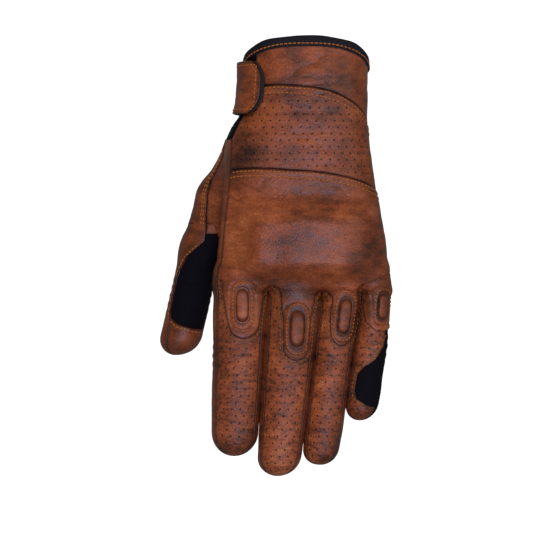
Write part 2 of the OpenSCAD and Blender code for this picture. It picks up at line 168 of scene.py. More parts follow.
class Tube:
    """A finger: its root, the slope of its axis, its length down to the tip and its widths."""

    def __init__(self, name):
        self.root, self.bend = hinge_at(name + "_root_bend"), hinge_at(name + "_end_bend")
        slope = (self.bend - self.root) / (self.root - self.bend)[2]
        self.slope, self.name = slope, name
        self.low = min(box_mm(name + "_" + n)[0][2] for n in ("end_back", "end_palm"))
        self.length = self.root[2] - self.low
        self.half, self.fill, self.tip = HALF_WIDTH[name], FILL[name], TIP_ROUND[name]

    def centre(self, z):
        """The axis at a height."""
        return self.root + (self.root[2] - z)[..., None] * self.slope

    def sides(self, z):
        """Half widths towards the thumb and towards the little finger at a height. Near the root
        each side is filled out towards its neighbour."""
        t = (self.root[2] - z) / self.length
        wide = self.half * curve(t, PROFILE)
        room = np.clip(1 - t, 0, 1) * ease(t * 5 + 1)
        tuck = 0
        if self.name == "little":
            tuck = TUCK * np.clip(1 - 2.4 * t, 0, 1.2) + TOP_TUCK * ease((0.05 - t) / 0.12)
        return wide + self.fill[0] * room, wide + self.fill[1] * room - tuck

    def field(self, p):
        """Elliptical section that closes to a rounded tip."""
        z = p[..., 2]
        left, right = self.sides(z)
        d = p - self.centre(z)
        c, a = (right - left) / 2, (right + left) / 2
        b = self.half * FLATNESS * curve((self.root[2] - z) / self.length, PROFILE)
        end = np.clip((self.low + self.tip - z) / self.tip, 0, 2)
        u, v = (d[..., 0] - c) / a, d[..., 1] / b
        q = np.sqrt(u * u + v * v + end ** 2.4) + 1e-9
        slope = np.sqrt((u / a) ** 2 + (v / b) ** 2 + (end / self.tip) ** 2) / q + 1e-6
        return soft_max((q - 1) / slope, z - self.root[2] - 12, 4)


tubes = {name: Tube(name) for name in FINGERS}
THUMB_ROOT, THUMB_BEND = hinge_at("thumb_swing"), hinge_at("thumb_end_bend")
THUMB_LOW = box_mm("thumb_end_palm")[0][2]
THUMB_CHAIN = np.array([[-35.5, 8, -42, 6], [-51, 17, -78, 11.6], [*THUMB_ROOT, 12.4]])
THUMB_HALF, THUMB_TIP = 12.4, 13
THUMB_SLOPE = (THUMB_BEND - THUMB_ROOT) / (THUMB_ROOT - THUMB_BEND)[2]


def thumb_centre(z):
    """The thumb's axis at a height: the chain above its root, a straight line below."""
    top = [curve(z, THUMB_CHAIN[:, (2, i)]) for i in (0, 1)]
    straight = THUMB_ROOT + (THUMB_ROOT[2] - z)[..., None] * THUMB_SLOPE
    upper = np.stack([*top, z], -1)
    return np.where((z > THUMB_ROOT[2])[..., None], upper, straight)


def thumb_swell(z):
    """The thumb's radius at a height, slimmer between its joints."""
    return THUMB_HALF * curve(z, [(-110, 1), (-128, 0.965), (-140, 0.98), (-155, 0.97)])


def thumb_field(p):
    """Two tapering round bars for the root, a tube with a rounded tip for the thumb."""
    found = None
    for start, end in zip(THUMB_CHAIN[:-1], THUMB_CHAIN[1:]):
        way = end[:3] - start[:3]
        t = np.clip((p - start[:3]) @ way / (way @ way), 0, 1)
        bar = np.linalg.norm(p - start[:3] - t[..., None] * way, axis=-1)
        bar = bar - (start[3] + (end[3] - start[3]) * t)
        found = bar if found is None else soft_min(found, bar, 6)
    z = p[..., 2]
    d = p - (THUMB_ROOT + (THUMB_ROOT[2] - z)[..., None] * THUMB_SLOPE)
    end = np.clip((THUMB_LOW + THUMB_TIP - z) / THUMB_TIP, 0, 2)
    swell = thumb_swell(z)
    u, v = d[..., 0] / swell, d[..., 1] / swell
    q = np.sqrt(u * u + v * v + end ** 2.4) + 1e-9
    slope = np.sqrt((u * u + v * v) / swell ** 2 + (end / THUMB_TIP) ** 2) / q + 1e-6
    tube = soft_max((q - 1) / slope, z - THUMB_ROOT[2] - 12, 9)
    return soft_min(found, tube, 4)


def glove_field(p):
    """The whole form: hand and fingers merged with round webs, then the thumb."""
    low = p[..., 2].min() if p.size else 0
    form = hand_field(p)
    if low < -112:
        fingers = np.min([tubes[name].field(p) for name in FINGERS], axis=0)
        form = soft_min(form, fingers, 6)
    if p[..., 0].min() < -30 and p[..., 2].max() > THUMB_LOW - 5:
        form = soft_min(form, thumb_field(p), 9)
    return form


def reach(centre, way, field, far, steps=26):
    """Walks out from centre along way by the field's own value until it is zero: the distance to
    the first place where the form ends, at most far."""
    rho = np.full(way.shape[:-1], 2.0)
    for _ in range(steps):
        rho = np.clip(rho - 0.92 * field(centre + rho[..., None] * way), 0, far)
    return rho


print("fingers:", {n: round(float(t.length), 1) for n, t in tubes.items()})

# %% [markdown]
# ## Charts
# A panel needs two parameters. All charts cut the form in level slices, so that panels of two
# charts can share an edge: the hand chart goes round the hand's middle, a finger chart round that
# finger's axis, the thumb chart round the thumb's. An angle of 0 points to the little finger's
# side, 90 to the back of the hand, 180 to the thumb's side.

# %% Charts


def turn_to_way(section, phi):
    """Unit vector from the middle of a superellipse section to its point at angle phi."""
    a, b = section
    x = a * np.sign(np.cos(phi)) * np.abs(np.cos(phi)) ** (2 / SQUARE)
    y = -b * np.sign(np.sin(phi)) * np.abs(np.sin(phi)) ** (2 / SQUARE)
    way = np.stack([x, y, np.zeros_like(x)], -1)
    return way / np.linalg.norm(way, axis=-1, keepdims=True)


CROTCH = np.array([-48.6, 12.4])      # on the upright plane between hand and thumb
CROTCH_WAY = np.array([-0.70, 0.714])
CROTCH_Z, CROTCH_FOOT = -94, -122     # the thumb and the hand are apart below the first height


def hand_chart(z, phi):
    """The form's point at height z and angle phi in degrees, seen from the hand's middle. Below
    the thumb's root it stops at the upright plane between the hand and the thumb."""
    z, phi = np.broadcast_arrays(np.asarray(z, float), np.radians(phi))
    c, a, b = hand_section(z)
    centre = np.stack([c, np.zeros_like(c), z], -1)
    way = turn_to_way((a, b), phi)
    rho = reach(centre, way, glove_field, 90)
    ahead = np.maximum(way[..., :2] @ CROTCH_WAY, 1e-6)
    to_plane = ((CROTCH - centre[..., :2]) @ CROTCH_WAY) / ahead
    rho = np.where((z < CROTCH_Z) & (to_plane > 0), np.minimum(rho, to_plane), rho)
    return centre + rho[..., None] * way


def angle_at(x, z):
    """The hand chart's angle of a point of the back that is seen at x, from above z."""
    c, a, _ = hand_section(np.asarray(z, float))
    share = np.clip((x - c) / a, -1, 1)
    return np.degrees(np.arccos(np.sign(share) * np.abs(share) ** (SQUARE / 2)))


OVERLAP = 0.2     # how far two fingers' side strips reach into each other above a web


def neighbour_planes(name):
    """Places x = place + slope * z of the upright planes halfway to the fingers beside this one."""
    i = FINGERS.index(name)
    planes = []
    for a, b in ((i, i - 1), (i, i + 1)):
        if 0 <= b < 4:
            z = np.array([-130.0, -200.0])
            first, second = (tubes[FINGERS[n]] for n in sorted((a, b)))
            edge = first.centre(z)[:, 0] + first.sides(z)[1]
            other = second.centre(z)[:, 0] - second.sides(z)[0]
            mid = (edge + other) / 2
            slope = (mid[1] - mid[0]) / (z[1] - z[0])
            planes.append((mid[0] - slope * z[0], slope, 1 if b > a else -1))
    return planes


def finger_chart(name):
    """Makes the chart of one finger: a point at height z and angle phi round its axis. Above the
    webs it stops just past the planes between neighbours, so that no light falls through."""
    tube, planes = tubes[name], neighbour_planes(name)

    def chart(z, phi):
        z, phi = np.broadcast_arrays(np.asarray(z, float), np.radians(phi))
        centre = tube.centre(z)
        left, right = tube.sides(z)
        centre[..., 0] += (right - left) / 2
        way = np.stack([(left + right) / 2 * np.cos(phi), -tube.half * FLATNESS * np.sin(phi),
                        np.zeros_like(phi)], -1)
        way /= np.linalg.norm(way, axis=-1, keepdims=True)
        rho = reach(centre, way, glove_field if z.max() > -165 else tube.field, 40)
        for place, slope, side in planes:
            ahead = np.where(way[..., 0] * side > 1e-6, way[..., 0], np.nan)
            gap = (place + slope * z - centre[..., 0] + OVERLAP * side) / ahead
            rho = np.where(gap > 0, np.fmin(rho, gap), rho)
        return centre + rho[..., None] * way

    chart.inside = tube.centre
    return chart


def thumb_chart(z, phi):
    """The thumb's point at height z and angle phi round its own axis."""
    z, phi = np.broadcast_arrays(np.asarray(z, float), np.radians(phi))
    centre = thumb_centre(z)
    way = np.stack([np.cos(phi), -np.sin(phi), np.zeros_like(phi)], -1)
    rho = reach(centre, way, glove_field if z.max() > -120 else thumb_field, 40)
    ahead = np.minimum(way[..., :2] @ CROTCH_WAY, -1e-6)
    to_plane = ((CROTCH - centre[..., :2]) @ CROTCH_WAY) / ahead
    beside = (z < CROTCH_Z) & (z > CROTCH_FOOT) & (to_plane > 0)
    rho = np.where(beside, np.minimum(rho, to_plane - 0.1), rho)
    return centre + rho[..., None] * way


# %% [markdown]
# ## From a grid to a leather panel
# A panel is a closed plate: an outer grid, the same grid moved inwards by the leather's
# thickness, and a rim. Leather is turned in at a seam, so the outer grid rolls down along its
# sewn edges and leaves a groove. Where a panel only stops because the next piece follows another
# body, its edge isn't rolled and both pieces take the same normals, so no line shows.

# %% Grids and plates


def spread(length, step, roll_start, roll_end):
    """Places from 0 to 1 along a length, closer together where an edge rolls down."""
    fine = np.array([0, 0.12, 0.3, 0.55, 0.9, 1.4, 2.0])
    start = fine if roll_start else np.array([0.0])
    end = length - (fine if roll_end else np.array([0.0]))[::-1]
    count = max(int((end[0] - start[-1]) / step), 2)
    return np.concatenate([start[:-1], np.linspace(start[-1], end[0], count + 1), end[1:]]) / length


def grid_normals(p):
    """Unit normals of a grid of points: the cross product of its two directions."""
    n = np.cross(np.gradient(p, axis=0), np.gradient(p, axis=1))
    return n / np.maximum(np.linalg.norm(n, axis=-1, keepdims=True), 1e-12)


def facing(normals, up):
    """The normals, each turned round where it points away from up."""
    return normals * np.sign(np.sum(normals * up, axis=-1, keepdims=True) + 1e-9)


rng = np.random.default_rng(5)
LATTICE = rng.uniform(-1, 1, (32, 32, 32))


def value_noise(p, size):
    """Smooth noise from -1 to 1 with features about size millimetres across: random numbers on a
    lattice, eased from corner to corner."""
    q = p / size + 100
    i = np.floor(q).astype(int)
    f = ease(q - i)
    total = 0
    for dx in (0, 1):
        for dy in (0, 1):
            for dz in (0, 1):
                share = np.prod(np.where([dx, dy, dz], f, 1 - f), axis=-1)
                total = total + share * LATTICE[(i[..., 0] + dx) % 32, (i[..., 1] + dy) % 32,
                                                (i[..., 2] + dz) % 32]
    return total


def wear(p):
    """Height of the leather's own unevenness: broad swells, small lumps, and fold lines where
    noise crosses zero, stronger towards the wrist."""
    swell = 0.35 * value_noise(p * [1, 1, 1.6], 17) + 0.13 * value_noise(p, 6)
    fold = 1 - np.abs(value_noise(p * [0.8, 1, 2.4] + 40, 13)) * 4
    return swell - 0.35 * np.clip(fold, 0, 1) ** 2 * ease((p[..., 2] + 125) / 60)


def roll_down(distance, radius):
    """Depth of a rolled edge: a quarter circle over the last radius millimetres."""
    t = 1 - np.clip(distance / radius, 0, 1)
    return radius * (1 - np.sqrt(np.clip(1 - t * t, 0, 1)))


def edge_distance(p, rolled):
    """Distance along the grid to its nearest rolled edge. rolled says which of the first row,
    last row, first column and last column roll."""
    found = np.full(p.shape[:2], 1e3)
    for axis in (0, 1):
        steps = np.linalg.norm(np.diff(p, axis=axis), axis=-1)
        pad = [(0, 0), (0, 0)]
        pad[axis] = (1, 0)
        run = np.cumsum(np.pad(steps, pad), axis=axis)
        if rolled[2 * axis]:
            found = np.minimum(found, run)
        if rolled[2 * axis + 1]:
            found = np.minimum(found, run.take([-1], axis) - run)
    return found


def write_mesh(name, points, faces, normals=None, sewn=None):
    """Puts points in millimetres and faces into a new object at the origin. Points that fall on
    one place become one, and faces with no area are left out. rest_place keeps each point's place
    at rest, and sewn its two pattern coordinates and its distance to the nearest sewn edge."""
    keys = np.round(points * 1e3).astype(np.int64)
    _, first, back = np.unique(keys, axis=0, return_index=True, return_inverse=True)
    faces = back.reshape(-1)[faces]
    ring = np.sort(faces, axis=1)
    repeats = np.sum(ring[:, 1:] == ring[:, :-1], axis=1)
    lists = faces[repeats == 0].tolist()
    lists += [list(dict.fromkeys(f)) for f in faces[repeats == 1].tolist()]
    mesh = bpy.data.meshes.new(name)
    mesh.from_pydata((points[first] * MM).tolist(), [], lists)
    for label, values in (("rest_place", points * MM), ("sewn", sewn)):
        if values is not None:
            layer = mesh.attributes.new(label, "FLOAT_VECTOR", "POINT")
            layer.data.foreach_set("vector", values[first].astype(np.float32).ravel())
    mesh.shade_smooth()
    if normals is not None:
        mesh.normals_split_custom_set_from_vertices(normals[first].tolist())
    thing = bpy.data.objects.new(name, mesh)
    bpy.context.scene.collection.objects.link(thing)
    return thing


def turned_out(faces, points, away_from):
    """The faces, all turned round if they enclose a negative volume as seen from away_from."""
    p = points[faces] - away_from
    volume = np.sum(np.cross(p[:, 1] - p[:, 0], p[:, 2] - p[:, 0]) * p[:, 0]) + np.sum(
        np.cross(p[:, 2] - p[:, 0], p[:, 3] - p[:, 0]) * p[:, 0])
    return faces if volume > 0 else faces[:, ::-1]


def plate_mesh(name, outer, inner, normals, sewn):
    """Writes a closed plate: an outer and an inner grid and the rim between them. The faces are
    turned so that they agree with the given normals."""
    rows, cols = outer.shape[:2]
    k = np.arange(rows * cols).reshape(rows, cols)
    quads = np.stack([k[:-1, :-1], k[1:, :-1], k[1:, 1:], k[:-1, 1:]], -1).reshape(-1, 4)
    n = rows * cols
    loop = np.concatenate([k[0, :-1], k[:-1, -1], k[-1, :0:-1], k[:0:-1, 0]])
    after = np.roll(loop, -1)
    rim = np.stack([loop + n, after + n, after, loop], -1)
    faces = np.concatenate([quads, quads[:, ::-1] + n, rim])
    points = np.concatenate([outer.reshape(-1, 3), inner.reshape(-1, 3)])
    first, second, _, last = points[quads].transpose(1, 0, 2)
    lean = np.cross(second - first, last - first)
    if np.sum(lean * normals.reshape(-1, 3)[quads[:, 0]]) < 0:
        faces = faces[:, ::-1]
    both = np.concatenate([normals.reshape(-1, 3), -normals.reshape(-1, 3)])
    return write_mesh(name, points, faces, both, np.concatenate([sewn.reshape(-1, 3)] * 2))


class Panel:
    """A panel on one chart. place gives height and angle (or x) for grid shares u and v. One spare
    row and column all round give an unrolled edge the normals of the whole form."""

    def __init__(self, chart, place, u, v, rolled=(1, 1, 1, 1), raised=0.0, thick=1.1,
                 radius=0.9, rough=1.0, extra=None, edge=None, pitch=(6.2, 6.2), tip=False):
        wide_u = np.concatenate([[u[0] - 0.006], u, [u[-1] + 0.006]])
        wide_v = np.concatenate([[v[0] - 0.006], v, [v[-1] + 0.006]])
        z, turn = np.broadcast_arrays(*place(wide_u[:, None], wide_v[None]))
        bare = chart(z, turn)
        up = grid_normals(bare)
        inside = chart.inside(z)
        if np.median(np.sum(up * (bare - inside), axis=-1)) < 0:
            up = -up
        if tip:
            up[-2:] = up[-3].mean(axis=0) / np.linalg.norm(up[-3].mean(axis=0))
        run = edge(bare) if edge else np.pad(edge_distance(bare[1:-1, 1:-1], rolled), 1, mode="edge")
        lift = raised + rough * wear(bare) - roll_down(run, radius)
        if extra is not None:
            lift = lift + extra(bare)
        full = bare + up * lift[..., None]
        normals = facing(grid_normals(full), up)
        if tip:
            normals[-2:] = up[-1]
        self.outer, self.normals = full[1:-1, 1:-1], normals[1:-1, 1:-1]
        self.inner = (bare + up * (raised - thick))[1:-1, 1:-1]
        steps = np.linalg.norm(np.diff(bare, axis=1), axis=-1)
        across = np.cumsum(np.pad(steps, ((0, 0), (1, 0))), axis=1)
        across -= across[:, -1:] / 2
        self.sewn = np.stack([across / pitch[0], bare[..., 2] / pitch[1], run], -1)[1:-1, 1:-1]

    def piece(self, name):
        """The panel as a closed plate."""
        return plate_mesh(name, self.outer, self.inner, self.normals, self.sewn)


hand_chart.inside = lambda z: np.stack([hand_section(z)[0], 0 * z, z], -1)
thumb_chart.inside = thumb_centre
finger_charts = {name: finger_chart(name) for name in FINGERS}


def seen_from(y, way):
    """Makes the chart of what is seen from the back of the hand or from the palm: the form's first
    point met when walking from y along the given way."""
    def chart(z, x):
        start = np.stack([x + 0.0 * z, 0 * z + 0.0 * x + y, z + 0.0 * x], -1)
        ahead = np.broadcast_to(np.array([0.0, way, 0.0]), start.shape)
        return start + reach(start, ahead, lambda p: -glove_field(p), 62, 40)[..., None] * ahead
    chart.inside = lambda z: np.stack([0 * z, 0 * z - 2 * y, z], -1)
    return chart


front_chart, rear_chart = seen_from(-42.0, 1.0), seen_from(56.0, -1.0)


def lerp(a, b, t):
    """The value a share t of the way from a to b."""
    return a + (b - a) * t


def line(*knots):
    """A straight-line function through (place, value) knots."""
    p, v = np.array(sorted(knots), float).T
    return lambda x: np.interp(x, p, v)


def finish(thing, material, body=None, bend=None, instead=()):
    """Gives a piece its material and its body, and hides the CAD nodes that it stands for. A
    piece given a bend between two bodies is only baked in place: the bend itself is not used."""
    thing.data.materials.append(material)
    if bend:
        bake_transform(thing)
    else:
        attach(thing, body)
    if instead:
        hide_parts(*instead)


# %% [markdown]
# ## Leather, cloth and thread
# The leather is a waxed pull-up hide: dark in the grain, lighter where it is stretched and rubbed,
# with a soft sheen from the wax. Near its sewn edges, in the pads' grooves and in the cross creases
# of the finger backs it is darkened as painted shade. Its colour and grain come from noise on the
# place that each point has at rest, so they stay put when a finger bends. Holes are punched by
# colour and bump on the panel's own pattern coordinates, and the dark in them is painted shade.

# %% Materials


def srgb(code):
    """A hex colour as linear values."""
    parts = [int(code[i:i + 2], 16) / 255 for i in (1, 3, 5)]
    return [c / 12.92 if c <= 0.04045 else ((c + 0.055) / 1.055) ** 2.4 for c in parts] + [1.0]


def add(tree, kind, *values, out=0, inputs=(), **settings):
    """Adds a node with its settings, sets or links its inputs, given in order or by label, and
    returns one of its output sockets."""
    made = tree.nodes.new("ShaderNode" + kind)
    for key, value in settings.items():
        setattr(made, key, value)
    for key, value in [*enumerate(values), *dict(inputs).items()]:
        if isinstance(value, bpy.types.NodeSocket):
            tree.links.new(value, made.inputs[key])
        else:
            made.inputs[key].default_value = value
    return made.outputs[out]


def with_stops(socket, *stops):
    """Gives the colour ramp behind a socket its places and colours."""
    elements = socket.node.color_ramp.elements
    while len(elements) < len(stops):
        elements.new(0.5)
    for element, (place, colour) in zip(elements, stops):
        element.position, element.color = place, srgb(colour)
    return socket


def per_mm(size):
    """Scale of a pattern whose features are size millimetres across, on places in metres."""
    return 1 / (size * MM)


def new_material(name):
    """A material with its node tree and its shader node."""
    made = bpy.data.materials.new(name)
    made.use_nodes = True
    return made, made.node_tree, made.node_tree.nodes["Principled BSDF"]


def waxed_leather(name, holes=None, shade=1.0, streaks=0.0):
    """Waxed pull-up leather, darkened as painted shade near its sewn edges. holes is (radius,
    pitch, pitch) in millimetres for a perforated panel, shade a factor on the whole colour, streaks
    how strong the cross creases are: their bump and the painted shade in them."""
    made, tree, shader = new_material(name)
    rest = add(tree, "Attribute", attribute_name="rest_place", out="Vector")
    sewn = add(tree, "Attribute", attribute_name="sewn", out="Vector")
    sewn = add(tree, "SeparateXYZ", sewn).node.outputs
    flat = add(tree, "Mapping", inputs={"Vector": rest, "Scale": (0.6, 0.6, 1.6)})
    swells = {"Vector": rest, "Scale": per_mm(27.7778), "Detail": 3.0, "Roughness": 0.5}
    broad = add(tree, "TexNoise", inputs=swells)
    rubbed = {"Vector": flat, "Scale": per_mm(6.66667), "Detail": 6.0, "Roughness": 0.68}
    patches = add(tree, "TexNoise", inputs=rubbed)
    pores = {"Vector": rest, "Scale": per_mm(1.219512), "Smoothness": 0.6}
    grain = add(tree, "TexVoronoi", inputs=pores, feature="SMOOTH_F1")
    speck = add(tree, "TexNoise", inputs={"Vector": rest, "Scale": per_mm(0.666667), "Detail": 3.0})
    tone = add(tree, "Math", broad, 0.55, operation="MULTIPLY")
    tone = add(tree, "Math", patches, 0.45, tone, operation="MULTIPLY_ADD")
    colour = with_stops(add(tree, "ValToRGB", tone), (0.33, "#2D1408"), (0.43, "#542810"),
                        (0.51, "#6E3417"), (0.59, "#80411F"), (0.70, "#975832"))
    dark = add(tree, "Math", add(tree, "MapRange", grain, 0.15, 0.8, 1.0, 0.7),
               add(tree, "MapRange", speck, 0.38, 0.62, 0.84, 1.08), operation="MULTIPLY")
    # Painted shade: the colour falls to 0.3 of itself towards a sewn edge, where the leather rolls down into
    # a groove, and towards a pad's groove
    edge = add(tree, "MapRange", sewn[2], 0.3, 1.8, 0.3, 1.0)
    dark = add(tree, "Math", dark, edge, operation="MULTIPLY")
    height = add(tree, "Math", grain, -0.5, operation="MULTIPLY")
    height = add(tree, "Math", speck, 0.25, height, operation="MULTIPLY_ADD")
    height = add(tree, "Math", patches, 1.4, height, operation="MULTIPLY_ADD")
    if streaks:
        lines = {"Vector": flat, "Scale": per_mm(3.33333), "Detail": 5.0, "Roughness": 0.72}
        crease = add(tree, "TexNoise", inputs=lines)
        # Painted shade in the cross creases: the colour falls to 1 - streaks of itself along the crease
        # noise
        crease_shade = add(tree, "MapRange", crease, 0.37, 0.51, 1.0 - streaks, 1.05)
        dark = add(tree, "Math", dark, crease_shade, operation="MULTIPLY")
        height = add(tree, "Math", crease, 1.6, height, operation="MULTIPLY_ADD")
    if holes:
        radius, wide, long = holes
        row = add(tree, "Math", sewn[1], operation="FLOOR")
        odd = add(tree, "Math", row, 2.0, operation="FLOORED_MODULO")
        column = add(tree, "Math", odd, 0.5, sewn[0], operation="MULTIPLY_ADD")
        squares = []
        for place, pitch in ((column, wide), (sewn[1], long)):
            off = add(tree, "Math", add(tree, "Math", place, operation="FRACT"), 0.5, operation="SUBTRACT")
            off = add(tree, "Math", off, pitch, operation="MULTIPLY")
            squares.append(add(tree, "Math", off, 2.0, operation="POWER"))
        away = add(tree, "Math", add(tree, "Math", *squares, operation="ADD"), operation="SQRT")
        border = add(tree, "Math", sewn[2], 2.4, operation="LESS_THAN")
        rim = add(tree, "MapRange", away, radius * 0.75, radius * 1.15, 0.0, 1.0)
        solid = add(tree, "Math", rim, border, operation="MAXIMUM")
        # The holes are real; the dark in them, down to 0.1 of the colour, is painted shade inside the holes
        depth = add(tree, "MapRange", solid, 0.0, 1.0, 0.1, 1.0)
        dark = add(tree, "Math", dark, depth, operation="MULTIPLY")
        height = add(tree, "Math", solid, 2.5, height, operation="MULTIPLY_ADD")
    dark = add(tree, "Math", dark, shade, operation="MULTIPLY")
    colour = add(tree, "VectorMath", inputs={0: colour, "Scale": dark}, operation="SCALE")
    bump = add(tree, "Bump", inputs={"Strength": 0.42, "Distance": 0.0006, "Height": height})
    tree.links.new(colour, shader.inputs["Base Color"])
    sheen = add(tree, "MapRange", patches, 0.3, 0.7, 0.36, 0.54)
    tree.links.new(sheen, shader.inputs["Roughness"])
    tree.links.new(bump, shader.inputs["Normal"])
    shader.inputs["Specular IOR Level"].default_value = 0.3
    return made


def woven(name, colour, light, thread_mm, rough=0.82, depth=0.5, shine=0.2):
    """Cloth of crossing ribs thread_mm apart: height is the larger of two sine waves."""
    made, tree, shader = new_material(name)
    rest = add(tree, "Attribute", attribute_name="rest_place", out="Vector")
    place = add(tree, "SeparateXYZ", rest).node.outputs
    around = add(tree, "Math", place[0], place[1], operation="ADD")
    waves = []
    for sign in (1.0, -1.0):
        lean = add(tree, "Math", place[2], sign, around, operation="MULTIPLY_ADD")
        lean = add(tree, "Math", lean, 2 * math.pi / (thread_mm * MM), operation="MULTIPLY")
        waves.append(add(tree, "Math", lean, operation="SINE"))
    ribs = add(tree, "Math", *waves, operation="MAXIMUM")
    weave = add(tree, "Math", ribs, 0.5, 0.5, operation="MULTIPLY_ADD")
    fuzz = add(tree, "TexNoise", inputs={"Vector": rest, "Scale": per_mm(1.111111), "Detail": 4.0})
    tone = add(tree, "Math", fuzz, 0.4, operation="MULTIPLY")
    tone = add(tree, "Math", weave, 0.6, tone, operation="MULTIPLY_ADD")
    cloth = with_stops(add(tree, "ValToRGB", tone), (0.2, colour), (0.95, light))
    tree.links.new(cloth, shader.inputs["Base Color"])
    bump = add(tree, "Bump", inputs={"Strength": depth, "Distance": 0.0004, "Height": tone})
    tree.links.new(bump, shader.inputs["Normal"])
    shader.inputs["Roughness"].default_value = rough
    shader.inputs["Specular IOR Level"].default_value = shine
    return made


# Waxed cowhide: brown, mottled, half matt
hide = waxed_leather("waxed_cowhide")
# The same hide at 0.85 of its colour, for the panels and strips on the sides, the palm and the thumb:
# painted shade on parts that turn away from the camera and lamps
hide_painted_shade = waxed_leather("painted_shade_cowhide", shade=0.85)
# The same hide, punched: holes 1.1 mm wide in staggered rows
WRIST_PITCH, FINGER_PITCH = (5.2, 3.7), (5.0, 3.9)
punched_wrist = waxed_leather("punched_cowhide_wrist", (0.55, *WRIST_PITCH), 0.96)
punched_finger = waxed_leather("punched_cowhide_finger", (0.55, *FINGER_PITCH), 1.04, streaks=0.42)
# Polyamide stretch cloth: black, matt, fine ribs
stretch_cloth = woven("polyamide_stretch_cloth", "#030205", "#0B0910", 1.0, shine=0.08)
# Polyester grosgrain tape: black with a dull shine
edge_tape = woven("grosgrain_tape", "#040306", "#100E14", 0.8, 0.6)
lining_cloth = woven("brushed_lining_cloth", "#15110F", "#2C2522", 1.4, 0.95)
hook_tape = woven("hook_and_loop_tape", "#0A0A0B", "#232325", 1.2, 0.9, 0.9)
foam_cloth = woven("open_cell_foam", "#2A2A2C", "#4A4A4E", 0.9, 0.9, 0.8)
guard_shell = woven("moulded_polyurethane", "#131314", "#1D1D1F", 0.6, 0.45, 0.15)
# Bonded polyester thread: waxed orange brown
thread = woven("bonded_polyester_thread", "#6A3714", "#A0602A", 0.5, 0.5, 0.4)
# The same thread in a darker brown, round the tongues and along the little finger's insert
darker_thread = woven("darker_polyester_thread", "#402711", "#7E5528", 0.5, 0.5, 0.4)
print("materials:", len(bpy.data.materials))

# %% [markdown]
# ## Seams drawn on the form
# The seams are lines on the glove: three arched lines round the wrist and the back, the line down
# the thumb's side, and the outlines of the tongues that run from the back over the knuckles. Each
# is a function that gives a height or an angle, and the panels on both of its sides use it.

# %% Seam lines
LITTLE_SIDE, GUSSET_PALM, PALM_END = -8, 200, 352
WRIST_RAISED, BACK_RAISED = 0.25, 0.8     # how far a lapped panel stands off the form, in mm


def arched(level, rise, slant):
    """Height of a seam at an angle: its level, an arch over the back, a slant to one side."""
    def height(phi):
        """The height at an angle in degrees."""
        turn = np.radians(phi)
        return level + rise * np.maximum(0, np.sin(turn)) + slant * np.cos(turn)
    return height


cuff_edge = arched(0, 13.5, 0)
band_seam = arched(-32, 16.5, -6)
back_seam = arched(-71, 7.5, -4.5)
BINDING = 6.0
GUSSET_END, PALM_CUFF_END = -45, -34
BACK_THICK = 1.3
THUMB_SPLIT, SKIN_TOP, TONGUE_TOP = -127.5, -124, -126
back_left_x = line((0, -29), (-16, -31), (-31, -36), (-45, -42.8), (-64, -43.2), (-89, -46.0),
                   (-109, -48.2), (-126, -49.0))


def back_left(z):
    """Angle of the seam down the thumb's side of the back."""
    return angle_at(back_left_x(z), z)


thumb_side_x = line((-45, -43.6), (-52, -46.8), (-60, -50.5), (-68, -55.0), (-76, -57.4),
                    (-90, -58.4), (-104, -57.2))
palm_cut = line((-34, 200), (-44.6, 200), (-45.4, 228), (-62, 232), (-70, 237), (-94, 238),
                (-110, 232), (-131, 222))


def point_angle(chart, z, p):
    """Angle round a chart's middle of points at height z."""
    d = p - chart.inside(z)
    return np.degrees(np.arctan2(-d[..., 1], d[..., 0])) % 360


# Angle of the thumb's seam on the hand chart: the nearest of many angles to the point seen at
# thumb_side_x, and at the gusset just round the side.
zs = np.linspace(CROTCH_Z, GUSSET_END, 60)
reached = front_chart(zs, thumb_side_x(zs))
phis = np.linspace(120, 200, 321)
table = hand_chart(*np.meshgrid(zs, phis, indexing="ij"))
nearest = np.argmin(np.linalg.norm(table - reached[:, None], axis=-1), axis=1)
seen = zs < -54
thumb_side = line((GUSSET_END, 190), *zip(zs[seen], phis[nearest][seen]))
side_psi = line(*zip(zs, point_angle(thumb_chart, zs, hand_chart(zs, thumb_side(zs)))))
PALM_SEAM = 262
rear_from = line(*zip(zs, thumb_chart(zs, PALM_SEAM + 0 * zs)[:, 0]))
rear_to = line(*zip(zs, hand_chart(zs, palm_cut(zs))[:, 0]))
print("thumb seam angles:", [round(float(thumb_side(z))) for z in (-60, -80, -100)])

# %% [markdown]
# ## Cuff and hand
# The cuff is a band, a perforated panel and a plain back panel, each lapped on the one above with
# two rows of thread. They are rigid with the hand.

# %% Cuff and hand panels


def between(top, bottom, first, last):
    """Place function of a panel between two height lines and two angle lines."""
    def at(side, x):
        return side(x) if callable(side) else side + 0.0 * x

    def place(u, v):
        z = -60.0 + 0 * (u + v)
        phi = lerp(at(first, z), at(last, z), v)
        for _ in range(4):
            z = lerp(at(top, phi), at(bottom, phi), u)
            phi = lerp(at(first, z), at(last, z), v)
        return z, phi
    return place


def shares(long, wide, rolled, step):
    """Row and column places for a panel of about this length and width."""
    return spread(long, step, *rolled[:2]), spread(wide, step, *rolled[2:])


def hand_panel(name, top, bottom, first, last, size, material, slot, instead=(),
               rolled=(1, 1, 1, 1), step=1.1, body="hand", **more):
    """A panel of the hand chart between four lines, as one finished piece."""
    u, v = shares(*size, rolled, step)
    made = Panel(hand_chart, between(top, bottom, first, last), u, v, rolled, **more)
    finish(made.piece(name), material, body, instead=instead)


def cuff_top(phi):
    """Upper edge of the cuff's leather, just inside the binding."""
    return cuff_edge(phi) - BINDING + 0.6


